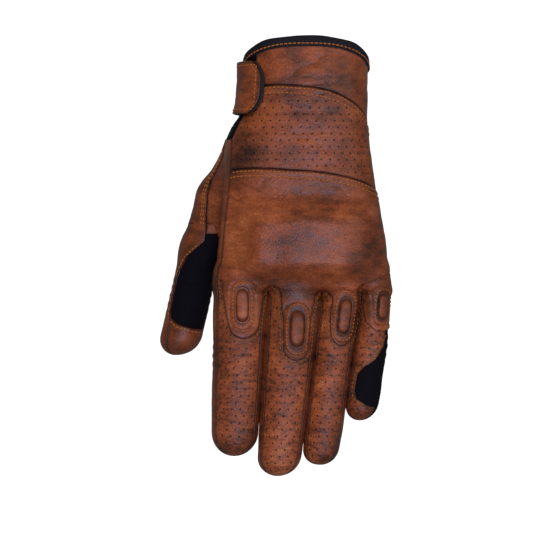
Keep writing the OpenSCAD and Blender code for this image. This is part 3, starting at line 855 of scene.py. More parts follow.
hand_panel("cuff_band", cuff_top, band_seam, LITTLE_SIDE, back_left, (26, 80), hide,
           "back_leather", ["cuff_band"])
hand_panel("wrist_panel", band_seam, back_seam, LITTLE_SIDE, back_left, (44, 88), punched_wrist,
           "back_leather", ["wrist_panel"], raised=WRIST_RAISED, pitch=WRIST_PITCH)
hand_panel("palm_cuff", cuff_top, PALM_CUFF_END, GUSSET_PALM, PALM_END, (30, 80), hide_painted_shade,
           "side_leather", ["palm_cuff"])
hand_panel("wrist_gusset", cuff_top, GUSSET_END, back_left, GUSSET_PALM, (42, 40), stretch_cloth,
           "stretch_fabric", ["wrist_gusset"], raised=-0.2)


def little_cut(x):
    """The slanting seam between the back panel and the little finger's knuckle piece."""
    outer = np.minimum(TONGUE_TOP + (x - 42) * 0.54, -121.5)
    return np.where(x < 42, TONGUE_TOP - (42 - x) * 0.54, outer)


def back_foot(phi):
    """Lower end of the back panel: level where the tongues go on, then the slanting seam."""
    x = hand_chart(np.full(np.shape(phi), -124.0), np.asarray(phi, float))[..., 0]
    return np.where(x < 42, TONGUE_TOP, little_cut(x)) + 0.0


def slant_roll(bare):
    """Rolls the back panel's edge down along the slanting seam."""
    gap = np.where(bare[..., 0] > 34, (bare[..., 2] - little_cut(bare[..., 0])) * 0.88, 9)
    return -roll_down(np.maximum(gap, 0), 0.9)


def back_creases(bare):
    """The slanting seam's roll, and creases that run from the thumb's seam into the back."""
    x, z = bare[..., 0], bare[..., 2]
    near = np.exp(-((x + 37) / 15) ** 2 - ((z + 81) / 8) ** 2)
    return slant_roll(bare) + 0.42 * near * np.cos((z + 0.5 * x) * 1.15 + 1.5 * value_noise(bare + 3, 9))


hand_panel("back_panel", back_seam, back_foot, LITTLE_SIDE, back_left, (62, 100), hide,
           "back_leather", ["back_panel"], rolled=(1, 0, 1, 1), step=0.9, raised=BACK_RAISED,
           thick=BACK_THICK, extra=back_creases)
hand_panel("thumb_side_panel", GUSSET_END, CROTCH_Z, back_left,
           thumb_side, (60, 14), hide_painted_shade, "side_leather",
           ["thumb_side_panel", "thumb_web"], rolled=(1, 0, 1, 1), step=0.9)
hand_panel("thumb_side_foot", CROTCH_Z, SKIN_TOP - 1, back_left, palm_cut, (22, 40), hide_painted_shade,
           "side_leather", rolled=(0, 1, 1, 1), step=0.9)
hand_panel("palm_panel", PALM_CUFF_END, SKIN_TOP - 1, palm_cut, PALM_END, (92, 95), hide_painted_shade,
           "side_leather", ["palm_panel"], step=1.3)
hand_panel("back_lining", lambda phi: cuff_edge(phi) - 1, TONGUE_TOP, 0, 360, (130, 280),
           lining_cloth, "lining", ["back_lining"], rolled=(0, 0, 0, 0), step=3, raised=-2.0, thick=0.6)
GUARD = (-83, -119, 42, 138)     # upper and lower height, first and last angle
hand_panel("knuckle_guard", *GUARD, (36, 80), guard_shell, "guard", ["knuckle_guard"], step=2,
           raised=-0.9, thick=1.4)
guard_foam = Panel(hand_chart, between(*GUARD), *shares(36, 80, (1, 1, 1, 1), 2), raised=-2.7,
                   thick=2.4)
finish(guard_foam.piece("guard_foam"), foam_cloth, "hand", instead=["guard_foam"])

# %% [markdown]
# ## Binding
# A folded tape closes the raw edges of leather and lining. Its section, a flat loop with rounded
# corners, is carried along the arched edge.

# %% Binding tape
turns = np.radians(np.arange(0, 360, 1.25))
corner = np.radians(np.linspace(0, 360, 29)[:-1])
HALF_TAPE = 1.15
bend_out = np.sign(np.cos(corner)) * np.abs(np.cos(corner)) ** 0.55 * HALF_TAPE
bend_up = np.sign(np.sin(corner)) * np.abs(np.sin(corner)) ** 0.45 * BINDING / 2
phi, out = np.meshgrid(np.degrees(turns), bend_out, indexing="ij")
ripple = 0.25 * np.sin(np.radians(phi * 9 + 40)) * (bend_up[None] > 0)
drop = cuff_edge(phi) - BINDING / 2 + bend_up[None] + ripple
skin = hand_chart(cuff_edge(phi) - BINDING / 2, phi)
outwards = turn_to_way(hand_section(skin[..., 2])[1:], np.radians(phi))
tape = skin + outwards * (out - 0.35)[..., None]
tape[..., 2] = drop
rows, cols = tape.shape[:2]
k = np.arange(rows * cols).reshape(rows, cols)
ahead, over = np.roll(k, -1, 0), np.roll(k, -1, 1)
faces = np.stack([k, ahead, np.roll(ahead, -1, 1), over], -1).reshape(-1, 4)
points = tape.reshape(-1, 3)
faces = turned_out(faces, points, points.mean(axis=0))
finish(write_mesh("cuff_binding", points, faces), edge_tape, "hand",
       instead=["cuff_binding"])

# %% [markdown]
# ## Fingers
# A finger is four strips of leather: the punched back, two side strips and the palm side. They are
# cut across between the two joints, where nothing bends, because a piece can only bend across one
# joint. Each half is given the bodies and zone of its joint, but is only baked in place.

# %% Finger strips
# Heights between which the leather bends at a finger's root and at its middle joint
ROOT_ZONE = {"index": (-129.4, -152), "middle": (-132.4, -155), "ring": (-132.4, -154),
             "little": (-128.2, -149)}
END_ZONE = {"index": (-160, -184), "middle": (-172.8, -196), "ring": (-164.3, -187),
            "little": (-155.8, -177)}
CUT = {"index": -156, "middle": -164, "ring": -159, "little": -153}
BACK_TURN = 34
WEB_TOPS = {"index": (-19.7, -129.6), "middle": (9.8, -132.5), "ring": (34.8, -128.5)}
BEFORE = {"middle": "index", "ring": "middle", "little": "ring"}    # the web on the thumb's side


def bend_of(name, end):
    """Bodies and zone of one of a finger's two joints."""
    tube = tubes[name]
    a, b = (END_ZONE if end else ROOT_ZONE)[name]
    down = tube.bend - tube.root
    down /= -down[2]
    bodies = (name + "_root", name + "_end") if end else ("hand", name + "_root")
    return (*bodies, tube.root + down * (tube.root[2] - a), tube.root + down * (tube.root[2] - b))


def finger_end(tube):
    """The finger below its cut: ellipse sections that close at the tip by the tube's own formula."""
    def chart(z, phi):
        z, phi = np.broadcast_arrays(z, np.radians(phi))
        left, right = tube.sides(z)
        wide = curve((tube.root[2] - z) / tube.length, PROFILE)
        end = np.clip((tube.low + tube.tip - z) / tube.tip, 0, 1)
        close = np.sqrt(np.maximum(0, 1 - end ** 2.4))
        p = tube.centre(z) + 0.0
        p[..., 0] += (right - left) / 2 + (left + right) / 2 * np.cos(phi) * close
        p[..., 1] -= tube.half * FLATNESS * wide * np.sin(phi) * close
        return p
    chart.inside = tube.centre
    return chart


def knuckle_folds(name):
    """Cross folds over the middle joint on the finger's back, and deeper ones on its palm side."""
    tube = tubes[name]

    def folds(bare):
        z, y = bare[..., 2], bare[..., 1]
        near = np.exp(-((z - tube.bend[2]) / 9) ** 2)
        wave = np.cos((z - tube.bend[2]) * 1.25 + 1.2 * value_noise(bare + 9, 8))
        return near * wave * np.where(y < tube.root[1], 0.26, 0.34)
    return folds


STRIPS = [("back", BACK_TURN, 180 - BACK_TURN), ("palm", 180 + BACK_TURN, 360 - BACK_TURN),
          ("outer", -BACK_TURN, BACK_TURN), ("inner", 180 - BACK_TURN, 180 + BACK_TURN)]
INSERT_END = -200
insert_turn = line((-153, 0), (-160, 26), (-167, 46), (-173, 68), (-177, 104), (-181, 124),
                   (-190, 127), (-195, 114), (-200, 60))


def seam_turn(web):
    """Angle of the seam beside a finger's back. Below a web's top it closes in an arch."""
    if web not in WEB_TOPS:
        return lambda z: BACK_TURN + 0.0 * z
    top = WEB_TOPS[web][1]
    return lambda z: BACK_TURN * np.sqrt(1 - np.clip((z - top + 8.5) / 6, 0, 1) ** 2)


def strip_edges(name, strip, first, last):
    """Angle lines of a strip's two edges. On the little finger the stretch insert takes the place
    of the outer strip and cuts into the back."""
    if name != "little" or strip not in ("back", "outer"):
        return first, last

    def cut(z):
        """The insert's edge between its two ends, the usual strip's edge elsewhere."""
        inside = (z < CUT["little"]) & (z > INSERT_END)
        return np.where(inside, np.maximum(insert_turn(z), BACK_TURN), BACK_TURN)
    return (cut, last) if strip == "back" else (first, cut)


def towards_tip(place):
    """A place function whose rows crowd at the tip: share u becomes the sine of u quarter turns."""
    return lambda u, v: place(np.sin(np.radians(90 * np.minimum(u, 1.0))), v)


for name in FINGERS:
    tube, folds = tubes[name], knuckle_folds(name)
    low = tube.low + 0.02
    for strip, first, last in STRIPS:
        black = name == "little" and strip == "outer"
        # Strips other than the back take the darker copy of the hide: painted shade on the finger's sides
        # and palm side
        coat = {"back": punched_finger}.get(strip, hide_painted_shade)
        kind = "back_leather" if strip == "back" else "side_leather"
        wide = tube.half * math.radians(last - first)
        deep = dict(thick=1.1, radius=0.75, rough=0.7, extra=folds, pitch=FINGER_PITCH)
        a, b = strip_edges(name, strip, first, last)
        u, v = shares(SKIN_TOP - CUT[name], wide, (0, 0, 1, 1), 0.9)
        low_side, high_side = seam_turn(name), seam_turn(BEFORE.get(name))
        lines = {"back": (low_side, lambda z: 180 - high_side(z)), "outer": (first, low_side),
                 "inner": (lambda z: 180 - high_side(z), last)}.get(strip, (first, last))
        top = Panel(finger_charts[name], between(SKIN_TOP, CUT[name], *lines), u, v, (0, 0, 1, 1), **deep)
        finish(top.piece(name + "_root_" + strip), coat, bend=bend_of(name, False),
               instead={"palm": [name + "_root_palm"], "inner": [name + "_root_sides"]}.get(strip, ()))
        u = spread(CUT[name] - low, 0.9, 0, 0)
        place = towards_tip(between(CUT[name], low, a, b))
        end = Panel(finger_end(tube), place, u, v, (0, 0, 1, 1), tip=True, **deep)
        stands = {"back": [name + "_end_back"], "palm": [name + "_end_palm"],
                  "inner": [name + "_end_sides"]}
        finish(end.piece(name + "_end_" + strip), stretch_cloth if black else coat, bend=bend_of(name, True),
               instead=["little_stretch_insert"] if black else stands.get(strip, ()))
print("finger strips:", len(FINGERS) * len(STRIPS) * 2)

# %% [markdown]
# ## Tongues and knuckle pads
# The back panel ends in tongues that lie on the fingers' leather and stop in a round end past the
# knuckle. Between two tongues the edge runs over the web in a narrow arch. Each tongue carries a
# quilted oval pad: foam under the leather, held by a ring of stitches.

# %% Tongues
ARCH_WIDE, ARCH_HIGH = 5.0, 6.0
SIDES = {  # straight runs of each tongue's two edges below the arches, then its round end
    "index": (line((-126, -49.0), (-135, -48.2), (-145, -46.6), (-152, -45.0)),
              line((-135.6, -24.7), (-143, -25.8), (-152, -27.0)), -160.4, -151),
    "middle": (line((-138, -14.6), (-150, -13.6), (-164, -13.4)),
               line((-138.5, 4.8), (-144, 3.6), (-164, 1.7)), -172.8, -164.5),
    "ring": (line((-138, 14.8), (-144, 13.7), (-156, 13.6)),
             line((-134.5, 29.9), (-142, 29.8), (-156, 27.3)), -164.4, -155.5)}


def arch(z, top):
    """How far an edge has run out of a web arch at a height: a quarter ellipse."""
    drop = np.clip((top - z) / ARCH_HIGH, 0, 1)
    return ARCH_WIDE * np.sqrt(np.maximum(0, 1 - (1 - drop) ** 2))


def from_arch(edge, z, web, side):
    """An edge that comes out of a web's arch and eases into its straight run."""
    x, top = WEB_TOPS[web]
    below = lerp(x + side * ARCH_WIDE, edge, ease((top - ARCH_HIGH - z) / 3))
    return np.where(z > top - ARCH_HIGH, x + side * arch(z, top), below)


def tongue_sides(name, z):
    """The two edges of a tongue at a height: the arches, the sides, and a round end."""
    left, right, foot, turn = SIDES[name]
    a, b = left(z), from_arch(right(z), z, name, -1)
    if name in BEFORE:
        a = from_arch(a, z, BEFORE[name], 1)
    if name == "ring":
        b = np.where(z > -128.6, line((-128.6, 35.6), (-128.3, 37.7), (-126, 42))(z), b)
    close = np.sqrt(np.maximum(0, 1 - np.clip((turn - z) / (turn - foot), 0, 1) ** 2.2))
    middle = (a + b) / 2
    return middle + (a - middle) * close, middle + (b - middle) * close


def outline_distance(name):
    """Distance, seen from the front, to a tongue's outline below its arches: the nearest of many
    short straight steps."""
    foot = SIDES[name][2]
    tip = foot + 2 * (1 - np.linspace(0, 1, 40) ** 0.5)
    z = np.concatenate([np.linspace(TONGUE_TOP, foot + 2, 160), tip])
    a, b = tongue_sides(name, z)
    left_from = np.argmax(z < WEB_TOPS[BEFORE[name]][1]) if name in BEFORE else 0
    right_from = np.argmax(z < WEB_TOPS[name][1]) if name != "ring" else 0
    down, back_up = np.stack([a, z], 1)[left_from:], np.stack([b, z], 1)[right_from:][::-1]
    path = np.concatenate([down, back_up])
    start, way = path[:-1], np.diff(path, axis=0)
    size = np.maximum(np.sum(way ** 2, axis=1), 1e-9)

    def distance(bare):
        q = bare[..., (0, 2)][..., None, :] - start
        t = np.clip(np.sum(q * way, axis=-1) / size, 0, 1)
        return np.min(np.linalg.norm(q - t[..., None] * way, axis=-1), axis=-1)
    return distance, path


def tongue_place(name):
    """Place function of a tongue: rows from its top down to its tip, columns between its edges."""
    foot = SIDES[name][2]

    def place(u, v):
        t = np.clip(u, 0, 1)
        z = lerp(TONGUE_TOP, foot + 0.01, 1 - (1 - t) ** 1.25) + 0 * v - 30 * np.minimum(u, 0)
        a, b = tongue_sides(name, z)
        return z, a + (b - a) * v
    return place


def little_tongue(u, v):
    """The little finger's knuckle piece on that finger's own chart: from the slanting seam down to
    a round end that turns over the outer side."""
    left = line((-128, 150), (-132.2, 124), (-141.5, 138), (-150.8, 122), (-153, 112))
    t = np.clip(u, 0, 1)
    z = lerp(-122.0, -156.0, 1 - (1 - t) ** 1.25) + 0 * v
    close = np.sqrt(np.maximum(0, 1 - np.clip((-146 - z) / 10, 0, 1) ** 2.2))
    a, b = lerp(66.0, left(z), close), lerp(66.0, -30.0, close)
    phi = lerp(b, a, v)
    cut = np.clip(1 - u * 3.2, 0, 1)
    x = 42 + 9.5 * np.cos(np.radians(phi))
    lowered = np.minimum(z, little_cut(x) - 0.15)
    return lerp(z, lowered, cut), phi


# Each pad's middle (x, z), width, length and lean in degrees
PADS = {"index": ((-36.8, -141.0), 12.6, 28.5, 0), "middle": ((-5.2, -154.6), 14.2, 31, 2),
        "ring": ((21.9, -147.3), 12.4, 30, 7), "little": ((43.6, -141.6), 9.4, 22, 5)}


def pad_axes(name):
    """A pad's middle, half width, half spine, and cosine and sine of its lean."""
    (x, z), wide, long, lean = PADS[name]
    return x, z, wide / 2, (long - wide) / 2, math.cos(math.radians(lean)), math.sin(math.radians(lean))


def pad_share(name, p):
    """Where a point lies in its pad's stadium: 0 on the spine, 1 on the rim, seen from the front."""
    x, z, half, spine, c, s = pad_axes(name)
    dx, dz = p[..., 0] - x, p[..., 2] - z
    across, along = dx * c + dz * s, dz * c - dx * s
    return np.hypot(across, np.maximum(np.abs(along) - spine, 0)) / half


def pad_place(name, share, turn):
    """Seen place (x, z) in a pad: share is 1 on the rim and 0 on the spine, turn goes round."""
    x, z, half, spine, c, s = pad_axes(name)
    across = half * np.sin(turn) * share
    along = half * np.cos(turn) * share + spine * np.tanh(3 * np.cos(turn)) * np.minimum(share * 1.2, 1)
    return x + across * c + along * s, z + along * c - across * s


def quilted(name):
    """Height of the quilting round a pad: the leather dips towards the ring of stitches."""
    def lift(bare):
        r = pad_share(name, bare)
        return -0.3 * np.exp(-((r - 1.08) / 0.1) ** 2) + 0.25 * np.exp(-((r - 1.45) / 0.25) ** 2)
    return lift


for name in FINGERS[:3]:
    distance, _ = outline_distance(name)
    u, v = spread(46, 0.5, 0, 0), spread(26, 0.6, 1, 1)
    tongue = Panel(front_chart, tongue_place(name), u, v, raised=BACK_RAISED, thick=BACK_THICK,
                   radius=1.2, extra=quilted(name), edge=distance)
    finish(tongue.piece(name + "_tongue"), hide, bend=bend_of(name, False),
           instead=[name + "_tongue"])
tongue = Panel(finger_charts["little"], little_tongue, spread(34, 0.5, 1, 1), spread(28, 0.6, 1, 1),
               raised=0.75, thick=BACK_THICK, radius=1.1, extra=quilted("little"))
finish(tongue.piece("little_tongue"), hide, bend=bend_of("little", False),
       instead=["little_tongue"])
print("tongues:", list(SIDES) + ["little"])

# %% Knuckle pads


def pad_chart(name, share, turn):
    """A pad's point on the form. The little finger's pad stops at that finger's outer side."""
    px, pz = pad_place(name, share, np.radians(turn))
    if name == "little":
        px = np.minimum(px, tubes[name].centre(pz)[..., 0] + 8.9)
    return front_chart(pz, px)


def pad_up(bare):
    """One outward direction for a whole pad: the mean normal of the form under it, flattened."""
    high, low = bare[..., 2].max(), bare[..., 2].min()
    sides = np.linspace(bare[..., 0].min(), bare[..., 0].max(), 12)
    up = grid_normals(front_chart(*np.meshgrid(np.linspace(high, low, 12), sides, indexing="ij")))
    up = up.mean(axis=(0, 1)) * -np.sign(up[..., 1].mean())
    up = np.array([up[0] * 0.6, -abs(up[1]), up[2] * 0.6])
    return up / np.linalg.norm(up)


def pad_height(share):
    """A pad's height above the tongue: a flat rim for the stitches, a groove at share 0.64, and a
    raised oval inside it."""
    rim = 0.6 * np.sqrt(np.clip((1 - share) / 0.12, 0, 1))
    inner = 1.5 * ease((0.62 - share) / 0.2) + 0.3 * ease((0.45 - share) / 0.45)
    return rim + inner - 0.35 * np.exp(-((share - 0.64) / 0.04) ** 2)


for name in FINGERS:
    rings = np.concatenate([np.linspace(1, 0.86, 7), np.linspace(0.84, 0.5, 15), np.linspace(0.45, 0, 7)])
    turning = np.linspace(0, 360, 97)
    share, turn = np.meshgrid(rings, turning, indexing="ij")
    bare = pad_chart(name, share, turn)
    up = pad_up(bare)
    lift = 0.55 + pad_height(share) + 0.5 * wear(bare)
    outer = bare + up * lift[..., None]
    inner = bare + up * 0.1
    normals = facing(grid_normals(outer), up)
    normals[:, 0] = normals[:, -1] = (normals[:, 0] + normals[:, -1]) / 2
    normals[-1] = up
    # The third value is the distance to the pad's groove, where the leather is darkened as painted shade
    sewn = np.stack([share, turn, np.minimum(1.3 - share, np.abs(share - 0.64)) * 9], -1)
    made = plate_mesh(name + "_pad", outer, inner, normals, sewn)
    finish(made, hide, bend=bend_of(name, False), instead=[name + "_pad"])
print("pads:", list(PADS))

# %% [markdown]
# ## Thumb
# The thumb's leather leaves the hand at a seam on each side and closes round the thumb. A black
# stretch insert over its back lets it bend. The thumb is cut across between its two joints, as the
# fingers are.

# %% Thumb panels
THUMB_DOWN = (THUMB_BEND - THUMB_ROOT) / np.linalg.norm(THUMB_BEND - THUMB_ROOT)


def thumb_bend_of(end):
    """Bodies and zone of one of the thumb's two joints."""
    start, stop = (21, 38) if end else (-0.5, 15)     # mm along the thumb from its root
    bodies = ("thumb_root_part", "thumb_end_part") if end else ("hand", "thumb_root_part")
    return (*bodies, THUMB_ROOT + THUMB_DOWN * start, THUMB_ROOT + THUMB_DOWN * stop)


def thumb_folds(bare):
    """Cross folds over the end joint."""
    near = np.exp(-((bare[..., 2] - THUMB_BEND[2]) / 9) ** 2)
    return near * 0.22 * np.cos((bare[..., 2] - THUMB_BEND[2]) * 1.3 + 1.2 * value_noise(bare, 7))


def thumb_end_chart(z, psi):
    """The thumb below its cut: round sections that close at the tip."""
    z, psi = np.broadcast_arrays(z, np.radians(psi))
    end = np.clip((THUMB_LOW + THUMB_TIP - z) / THUMB_TIP, 0, 1)
    swell = thumb_swell(z) * np.sqrt(np.maximum(0, 1 - end ** 2.4))
    return thumb_centre(z) + np.stack([np.cos(psi), -np.sin(psi), 0 * psi], -1) * swell[..., None]


thumb_end_chart.inside = thumb_centre
INNER_SEAM, INSERT_TOP_Z, THUMB_RAISED = 12, -100, 0.3
insert_edge = line((CROTCH_Z, float(side_psi(CROTCH_Z))), (-100, 84), (-104, 82), (-108, 100),
                   (-113, 124), (-121, 145), (-132, 152), (-144, 146), (-150, 132))
insert_foot = line((12, -155.5), (60, -155), (110, -152), (150, -146))
for label, chart, first, last, wide in (("outer", thumb_chart, side_psi, PALM_SEAM, 36),
                                        ("palm", rear_chart, rear_from, rear_to, 24)):
    made = Panel(chart, between(GUSSET_END + 0.8, CROTCH_Z, first, last),
                 *shares(49, wide, (1, 0, 1, 1), 0.9), raised=THUMB_RAISED,
                 rolled=(1, 0, int(label == "outer"), int(label == "palm")))
    finish(made.piece("thumb_root_" + label), hide_painted_shade, "hand",
           instead=["thumb_root"] if label == "outer" else ())
bridge = Panel(thumb_chart, between(CROTCH_Z, INSERT_TOP_Z, INNER_SEAM, insert_edge),
               *shares(7, 16, (0, 1, 1, 1), 0.8), rolled=(0, 1, 1, 1))
finish(bridge.piece("thumb_bridge"), hide_painted_shade, "hand")
for strip, first, last in (("insert", INNER_SEAM, insert_edge), ("outer", insert_edge, PALM_SEAM),
                           ("palm", PALM_SEAM, 360 + INNER_SEAM)):
    black = strip == "insert"
    coat, kind = (stretch_cloth, "stretch_fabric") if black else (hide_painted_shade, "side_leather")
    start = INSERT_TOP_Z if black else CROTCH_Z
    raised = 0.0 if black else THUMB_RAISED
    u, v = shares(start - THUMB_SPLIT, 34, (0, 0, 1, 1), 0.8)
    top = Panel(thumb_chart, between(start, THUMB_SPLIT, first, last), u, v,
                rolled=(int(black), 0, 1, 1), raised=raised, extra=thumb_folds)
    finish(top.piece("thumb_base_" + strip), coat, bend=thumb_bend_of(False),
           instead=["thumb_base_" + strip])
    place = between(THUMB_SPLIT, insert_foot if black else THUMB_LOW + 0.02, first, last)
    u = spread(28, 0.8, 0, 1) if black else spread(45, 0.8, 0, 0)
    end = Panel(thumb_end_chart, place if black else towards_tip(place), u, v,
                (0, int(black), 1, 1), raised=raised, tip=not black, extra=thumb_folds)
    finish(end.piece("thumb_end_" + strip), coat, bend=thumb_bend_of(True),
           instead=["thumb_end_" + strip])
place = between(insert_foot, THUMB_LOW + 0.02, INNER_SEAM, 132)
cap = Panel(thumb_end_chart, towards_tip(place), spread(20, 0.8, 1, 0), v, (1, 0, 1, 1),
            raised=THUMB_RAISED, tip=True)
finish(cap.piece("thumb_end_cap"), hide_painted_shade, bend=thumb_bend_of(True),
       instead=["thumb_end_cap"])
print("insert from", INSERT_TOP_Z, "to", round(float(insert_foot(60)), 1), "mm")

# %% [markdown]
# ## Wrist strap and palm patch
# The strap is doubled leather. Its fixed half is sewn to the palm side of the cuff and passes round
# the thumb's edge, its tab closes on the back with hook and loop tape. The patch in the palm is
# leather over a thin foam, sewn round its edge.

# %% Strap
STRAP_TOP, STRAP_END = -0.5, -31.5                  # heights of the strap's two long edges
TAB_FREE, HOOK_FREE, STRAP_HINGE = 127, 123.6, 179.2     # angles where tab and hook tape start
BASE_FROM, BASE_TO = 185.0, 262.0                   # angles of the half that is sewn down
STRAP = {"raised": 3.9, "thick": 1.9, "rough": 0.8}


def round_end(u):
    """Degrees that the free end's corners are cut back: a power of the distance to the middle."""
    return 13 * np.abs(2 * np.clip(u, 0, 1) - 1) ** 3.2


def strap_place(first, last, inset=0.0):
    """Place function of a stretch of the strap between two angles; first may depend on u."""
    def place(u, v):
        start = first(u) if callable(first) else first + 0 * u
        return lerp(STRAP_TOP - inset, STRAP_END + inset, u) + 0 * v, lerp(start, last, v)
    return place


def sunk_in(p):
    """The sewn-down half comes closer to the cuff away from the thumb's edge."""
    return -2.2 * ease((p[..., 0] + 34) / 14)


tab = Panel(hand_chart, strap_place(lambda u: TAB_FREE + round_end(u), STRAP_HINGE),
            spread(31, 0.7, 1, 1), spread(27, 0.7, 1, 0), (1, 1, 1, 0), radius=0.8, **STRAP)
finish(tab.piece("strap_tab"), hide, "strap_tab_part", instead=["strap_tab"])
base = Panel(hand_chart, strap_place(BASE_FROM, BASE_TO), spread(31, 0.9, 1, 1),
             spread(62, 0.9, 0, 1), (1, 1, 0, 1), extra=sunk_in, **STRAP)
finish(base.piece("strap_base"), hide, "hand", instead=["strap_base"])
fold = Panel(hand_chart, strap_place(STRAP_HINGE, BASE_FROM), spread(31, 0.9, 1, 1),
             np.linspace(0, 1, 8), (1, 1, 0, 0), **STRAP)
finish(fold.piece("strap_fold"), hide,
       bend=("hand", "strap_tab_part", fold.outer[0, -1], fold.outer[0, 0]))

# %% Hook and loop tapes
loop = Panel(hand_chart, between(-8.5, -29.5, 131, 151), *shares(21, 24, (1, 1, 1, 1), 1.2),
             raised=1.5, thick=0.8, radius=0.3, rough=0.3)
finish(loop.piece("loop_patch"), hook_tape, "hand", instead=["loop_patch"])
# The hook tape follows the tab's outline and shows as a black edge at its free end.
hook = Panel(hand_chart, strap_place(lambda u: HOOK_FREE + round_end(u), 172.0, 0.4),
             spread(30, 0.8, 1, 1), spread(30, 0.9, 1, 1), raised=2.5, thick=0.8, radius=0.3, rough=0.8)
finish(hook.piece("hook_patch"), hook_tape, "strap_tab_part",
       instead=["hook_patch"])
print("strap:", STRAP_TOP - STRAP_END, "mm wide")

# %% Palm patch
patch_low, patch_high = box_mm("palm_patch")
patch_mid, patch_half = (patch_low + patch_high) / 2, (patch_high - patch_low) / 2
PATCH_SLOPE = (patch_half[1] - 0.6) / patch_half[2]
PATCH_UP = np.array([0, 1, -PATCH_SLOPE]) / math.hypot(1, PATCH_SLOPE)
PATCH_SEAM = 2.6        # distance of its stitches from its edge


def patch_chart(share, turn):
    """The palm patch: a rounded square, flat, tilted as the palm is, from rim to middle."""
    share, turn = np.broadcast_arrays(share, np.radians(turn))
    x = np.sign(np.cos(turn)) * np.abs(np.cos(turn)) ** 0.5 * (patch_half[0] - 0.2) * share
    z = np.sign(np.sin(turn)) * np.abs(np.sin(turn)) ** 0.5 * (patch_half[2] - 0.2) * share
    return np.stack([patch_mid[0] + x, patch_mid[1] + PATCH_SLOPE * z, patch_mid[2] + z], -1)


share, turn = np.meshgrid(1 - spread(20, 1.0, 1, 0), np.linspace(0, 360, 145), indexing="ij")
bare = patch_chart(share, turn)
away = (1 - share) * patch_half[0]
groove = 0.35 * np.exp(-((away - PATCH_SEAM) / 0.5) ** 2)
lift = 0.7 + 0.12 * value_noise(bare, 5) - roll_down(away, 0.9) - groove
outer = bare + PATCH_UP * lift[..., None]
normals = facing(grid_normals(outer), PATCH_UP)
normals[-1] = PATCH_UP
sewn = np.stack([share, turn, away], -1)
patch = plate_mesh("palm_patch", outer, bare - PATCH_UP * 3.0, normals, sewn)
finish(patch, hide, "hand", instead=["palm_patch", "palm_pad"])

# %% [markdown]
# ## Thread
# Every visible seam has a row of stitches. A stitch is a small capsule of thread laid along the
# seam, half sunk in the leather; a row is the same few faces repeated along a path.

# %% Stitches


def capsule():
    """A stitch 1 long along x: rings of six points whose radius follows a rounded end."""
    x = np.array([-0.5, -0.44, -0.2, 0.2, 0.44, 0.5])
    r = np.array([0.15, 0.7, 1.0, 1.0, 0.7, 0.15])
    turn = np.radians(np.arange(6) * 60)
    round_x = np.outer(r, np.cos(turn)).ravel()
    p = np.stack([np.repeat(x, 6), round_x, np.outer(r, np.sin(turn)).ravel()], -1)
    k = np.arange(36).reshape(6, 6)
    after = np.roll(k, -1, 1)
    quads = np.stack([k[:-1], after[:-1], after[1:], k[1:]], -1).reshape(-1, 4)
    ends = [k[0][[0, 3, 2, 1]], k[0][[0, 5, 4, 3]], k[-1][[0, 1, 2, 3]], k[-1][[0, 3, 4, 5]]]
    return p, turned_out(np.concatenate([quads, ends]), p, np.zeros(3))


STITCH, STITCH_FACES = capsule()


def stitch_row(path, ups, pitch=2.5, long=1.8, wide=0.38):
    """Stitches along a path of points with outward directions: a capsule every pitch millimetres,
    turned along the path."""
    run = np.concatenate([[0], np.cumsum(np.linalg.norm(np.diff(path, axis=0), axis=1))])
    at = np.arange(pitch / 2, run[-1], pitch)

    def pick(values, s):
        """Values at lengths s along the path."""
        return np.stack([np.interp(s, run, values[:, i]) for i in range(3)], -1)

    place, way = pick(path, at), pick(path, at + 0.4) - pick(path, at - 0.4)
    way /= np.maximum(np.linalg.norm(way, axis=1, keepdims=True), 1e-9)
    side = np.cross(pick(ups, at), way)
    side /= np.maximum(np.linalg.norm(side, axis=1, keepdims=True), 1e-9)
    up = np.cross(way, side)
    along, across, high = (STITCH[None, :, i:i + 1] for i in range(3))
    p = place[:, None] + way[:, None] * along * long + side[:, None] * across * wide
    p = p + up[:, None] * high * wide * 0.8
    faces = STITCH_FACES[None] + (np.arange(len(at)) * len(STITCH))[:, None, None]
    return p.reshape(-1, 3), faces.reshape(-1, 4)


def thread_piece(name, rows, body=None, bend=None, coat=thread):
    """Joins rows of stitches into one finished piece and returns how many stitches it has."""
    starts = np.cumsum([0] + [len(p) for p, _ in rows])
    faces = np.concatenate([f + start for (_, f), start in zip(rows, starts)])
    made = write_mesh(name, np.concatenate([p for p, _ in rows]), faces)
    finish(made, coat, body, bend)
    return len(made.data.polygons) // len(STITCH_FACES)


def on_chart(chart, z, turn, raised=0.0, rough=1.0):
    """A path on a chart, lifted to the leather's outer face, and its outward directions. Each
    direction comes from three nearby points of the chart."""
    z, turn = np.broadcast_arrays(np.asarray(z, float), np.asarray(turn, float))
    p = chart(z, turn)
    step = 0.4 if chart is front_chart else 1.0
    up = np.cross(chart(z - 0.4, turn) - p, chart(z, turn + step) - p)
    up /= np.maximum(np.linalg.norm(up, axis=-1, keepdims=True), 1e-9)
    up *= np.sign(np.sum(up * (p - chart.inside(z)), axis=-1, keepdims=True))
    return p + up * (raised + rough * wear(p))[..., None], up


# %% Stitches on the hand
phi = np.linspace(LITTLE_SIDE + 2, 150, 400)
rows = []
for seam, shift, raised in ((band_seam, -1.5, WRIST_RAISED), (band_seam, -4.5, WRIST_RAISED),
                            (back_seam, -1.5, BACK_RAISED), (back_seam, -4.3, BACK_RAISED),
                            (cuff_edge, 1.2 - BINDING, 0.2)):
    keep = phi < back_left(seam(phi) + shift) - 2.2
    rows.append(stitch_row(*on_chart(hand_chart, (seam(phi) + shift)[keep], phi[keep], raised)))
around = np.linspace(0, 360, 700)
binding_row = on_chart(hand_chart, cuff_edge(around) - BINDING + 1.6, around, 0.85, 0.0)
rows.append(stitch_row(*binding_row, long=2.0))
count = thread_piece("hand_thread", rows, "hand")

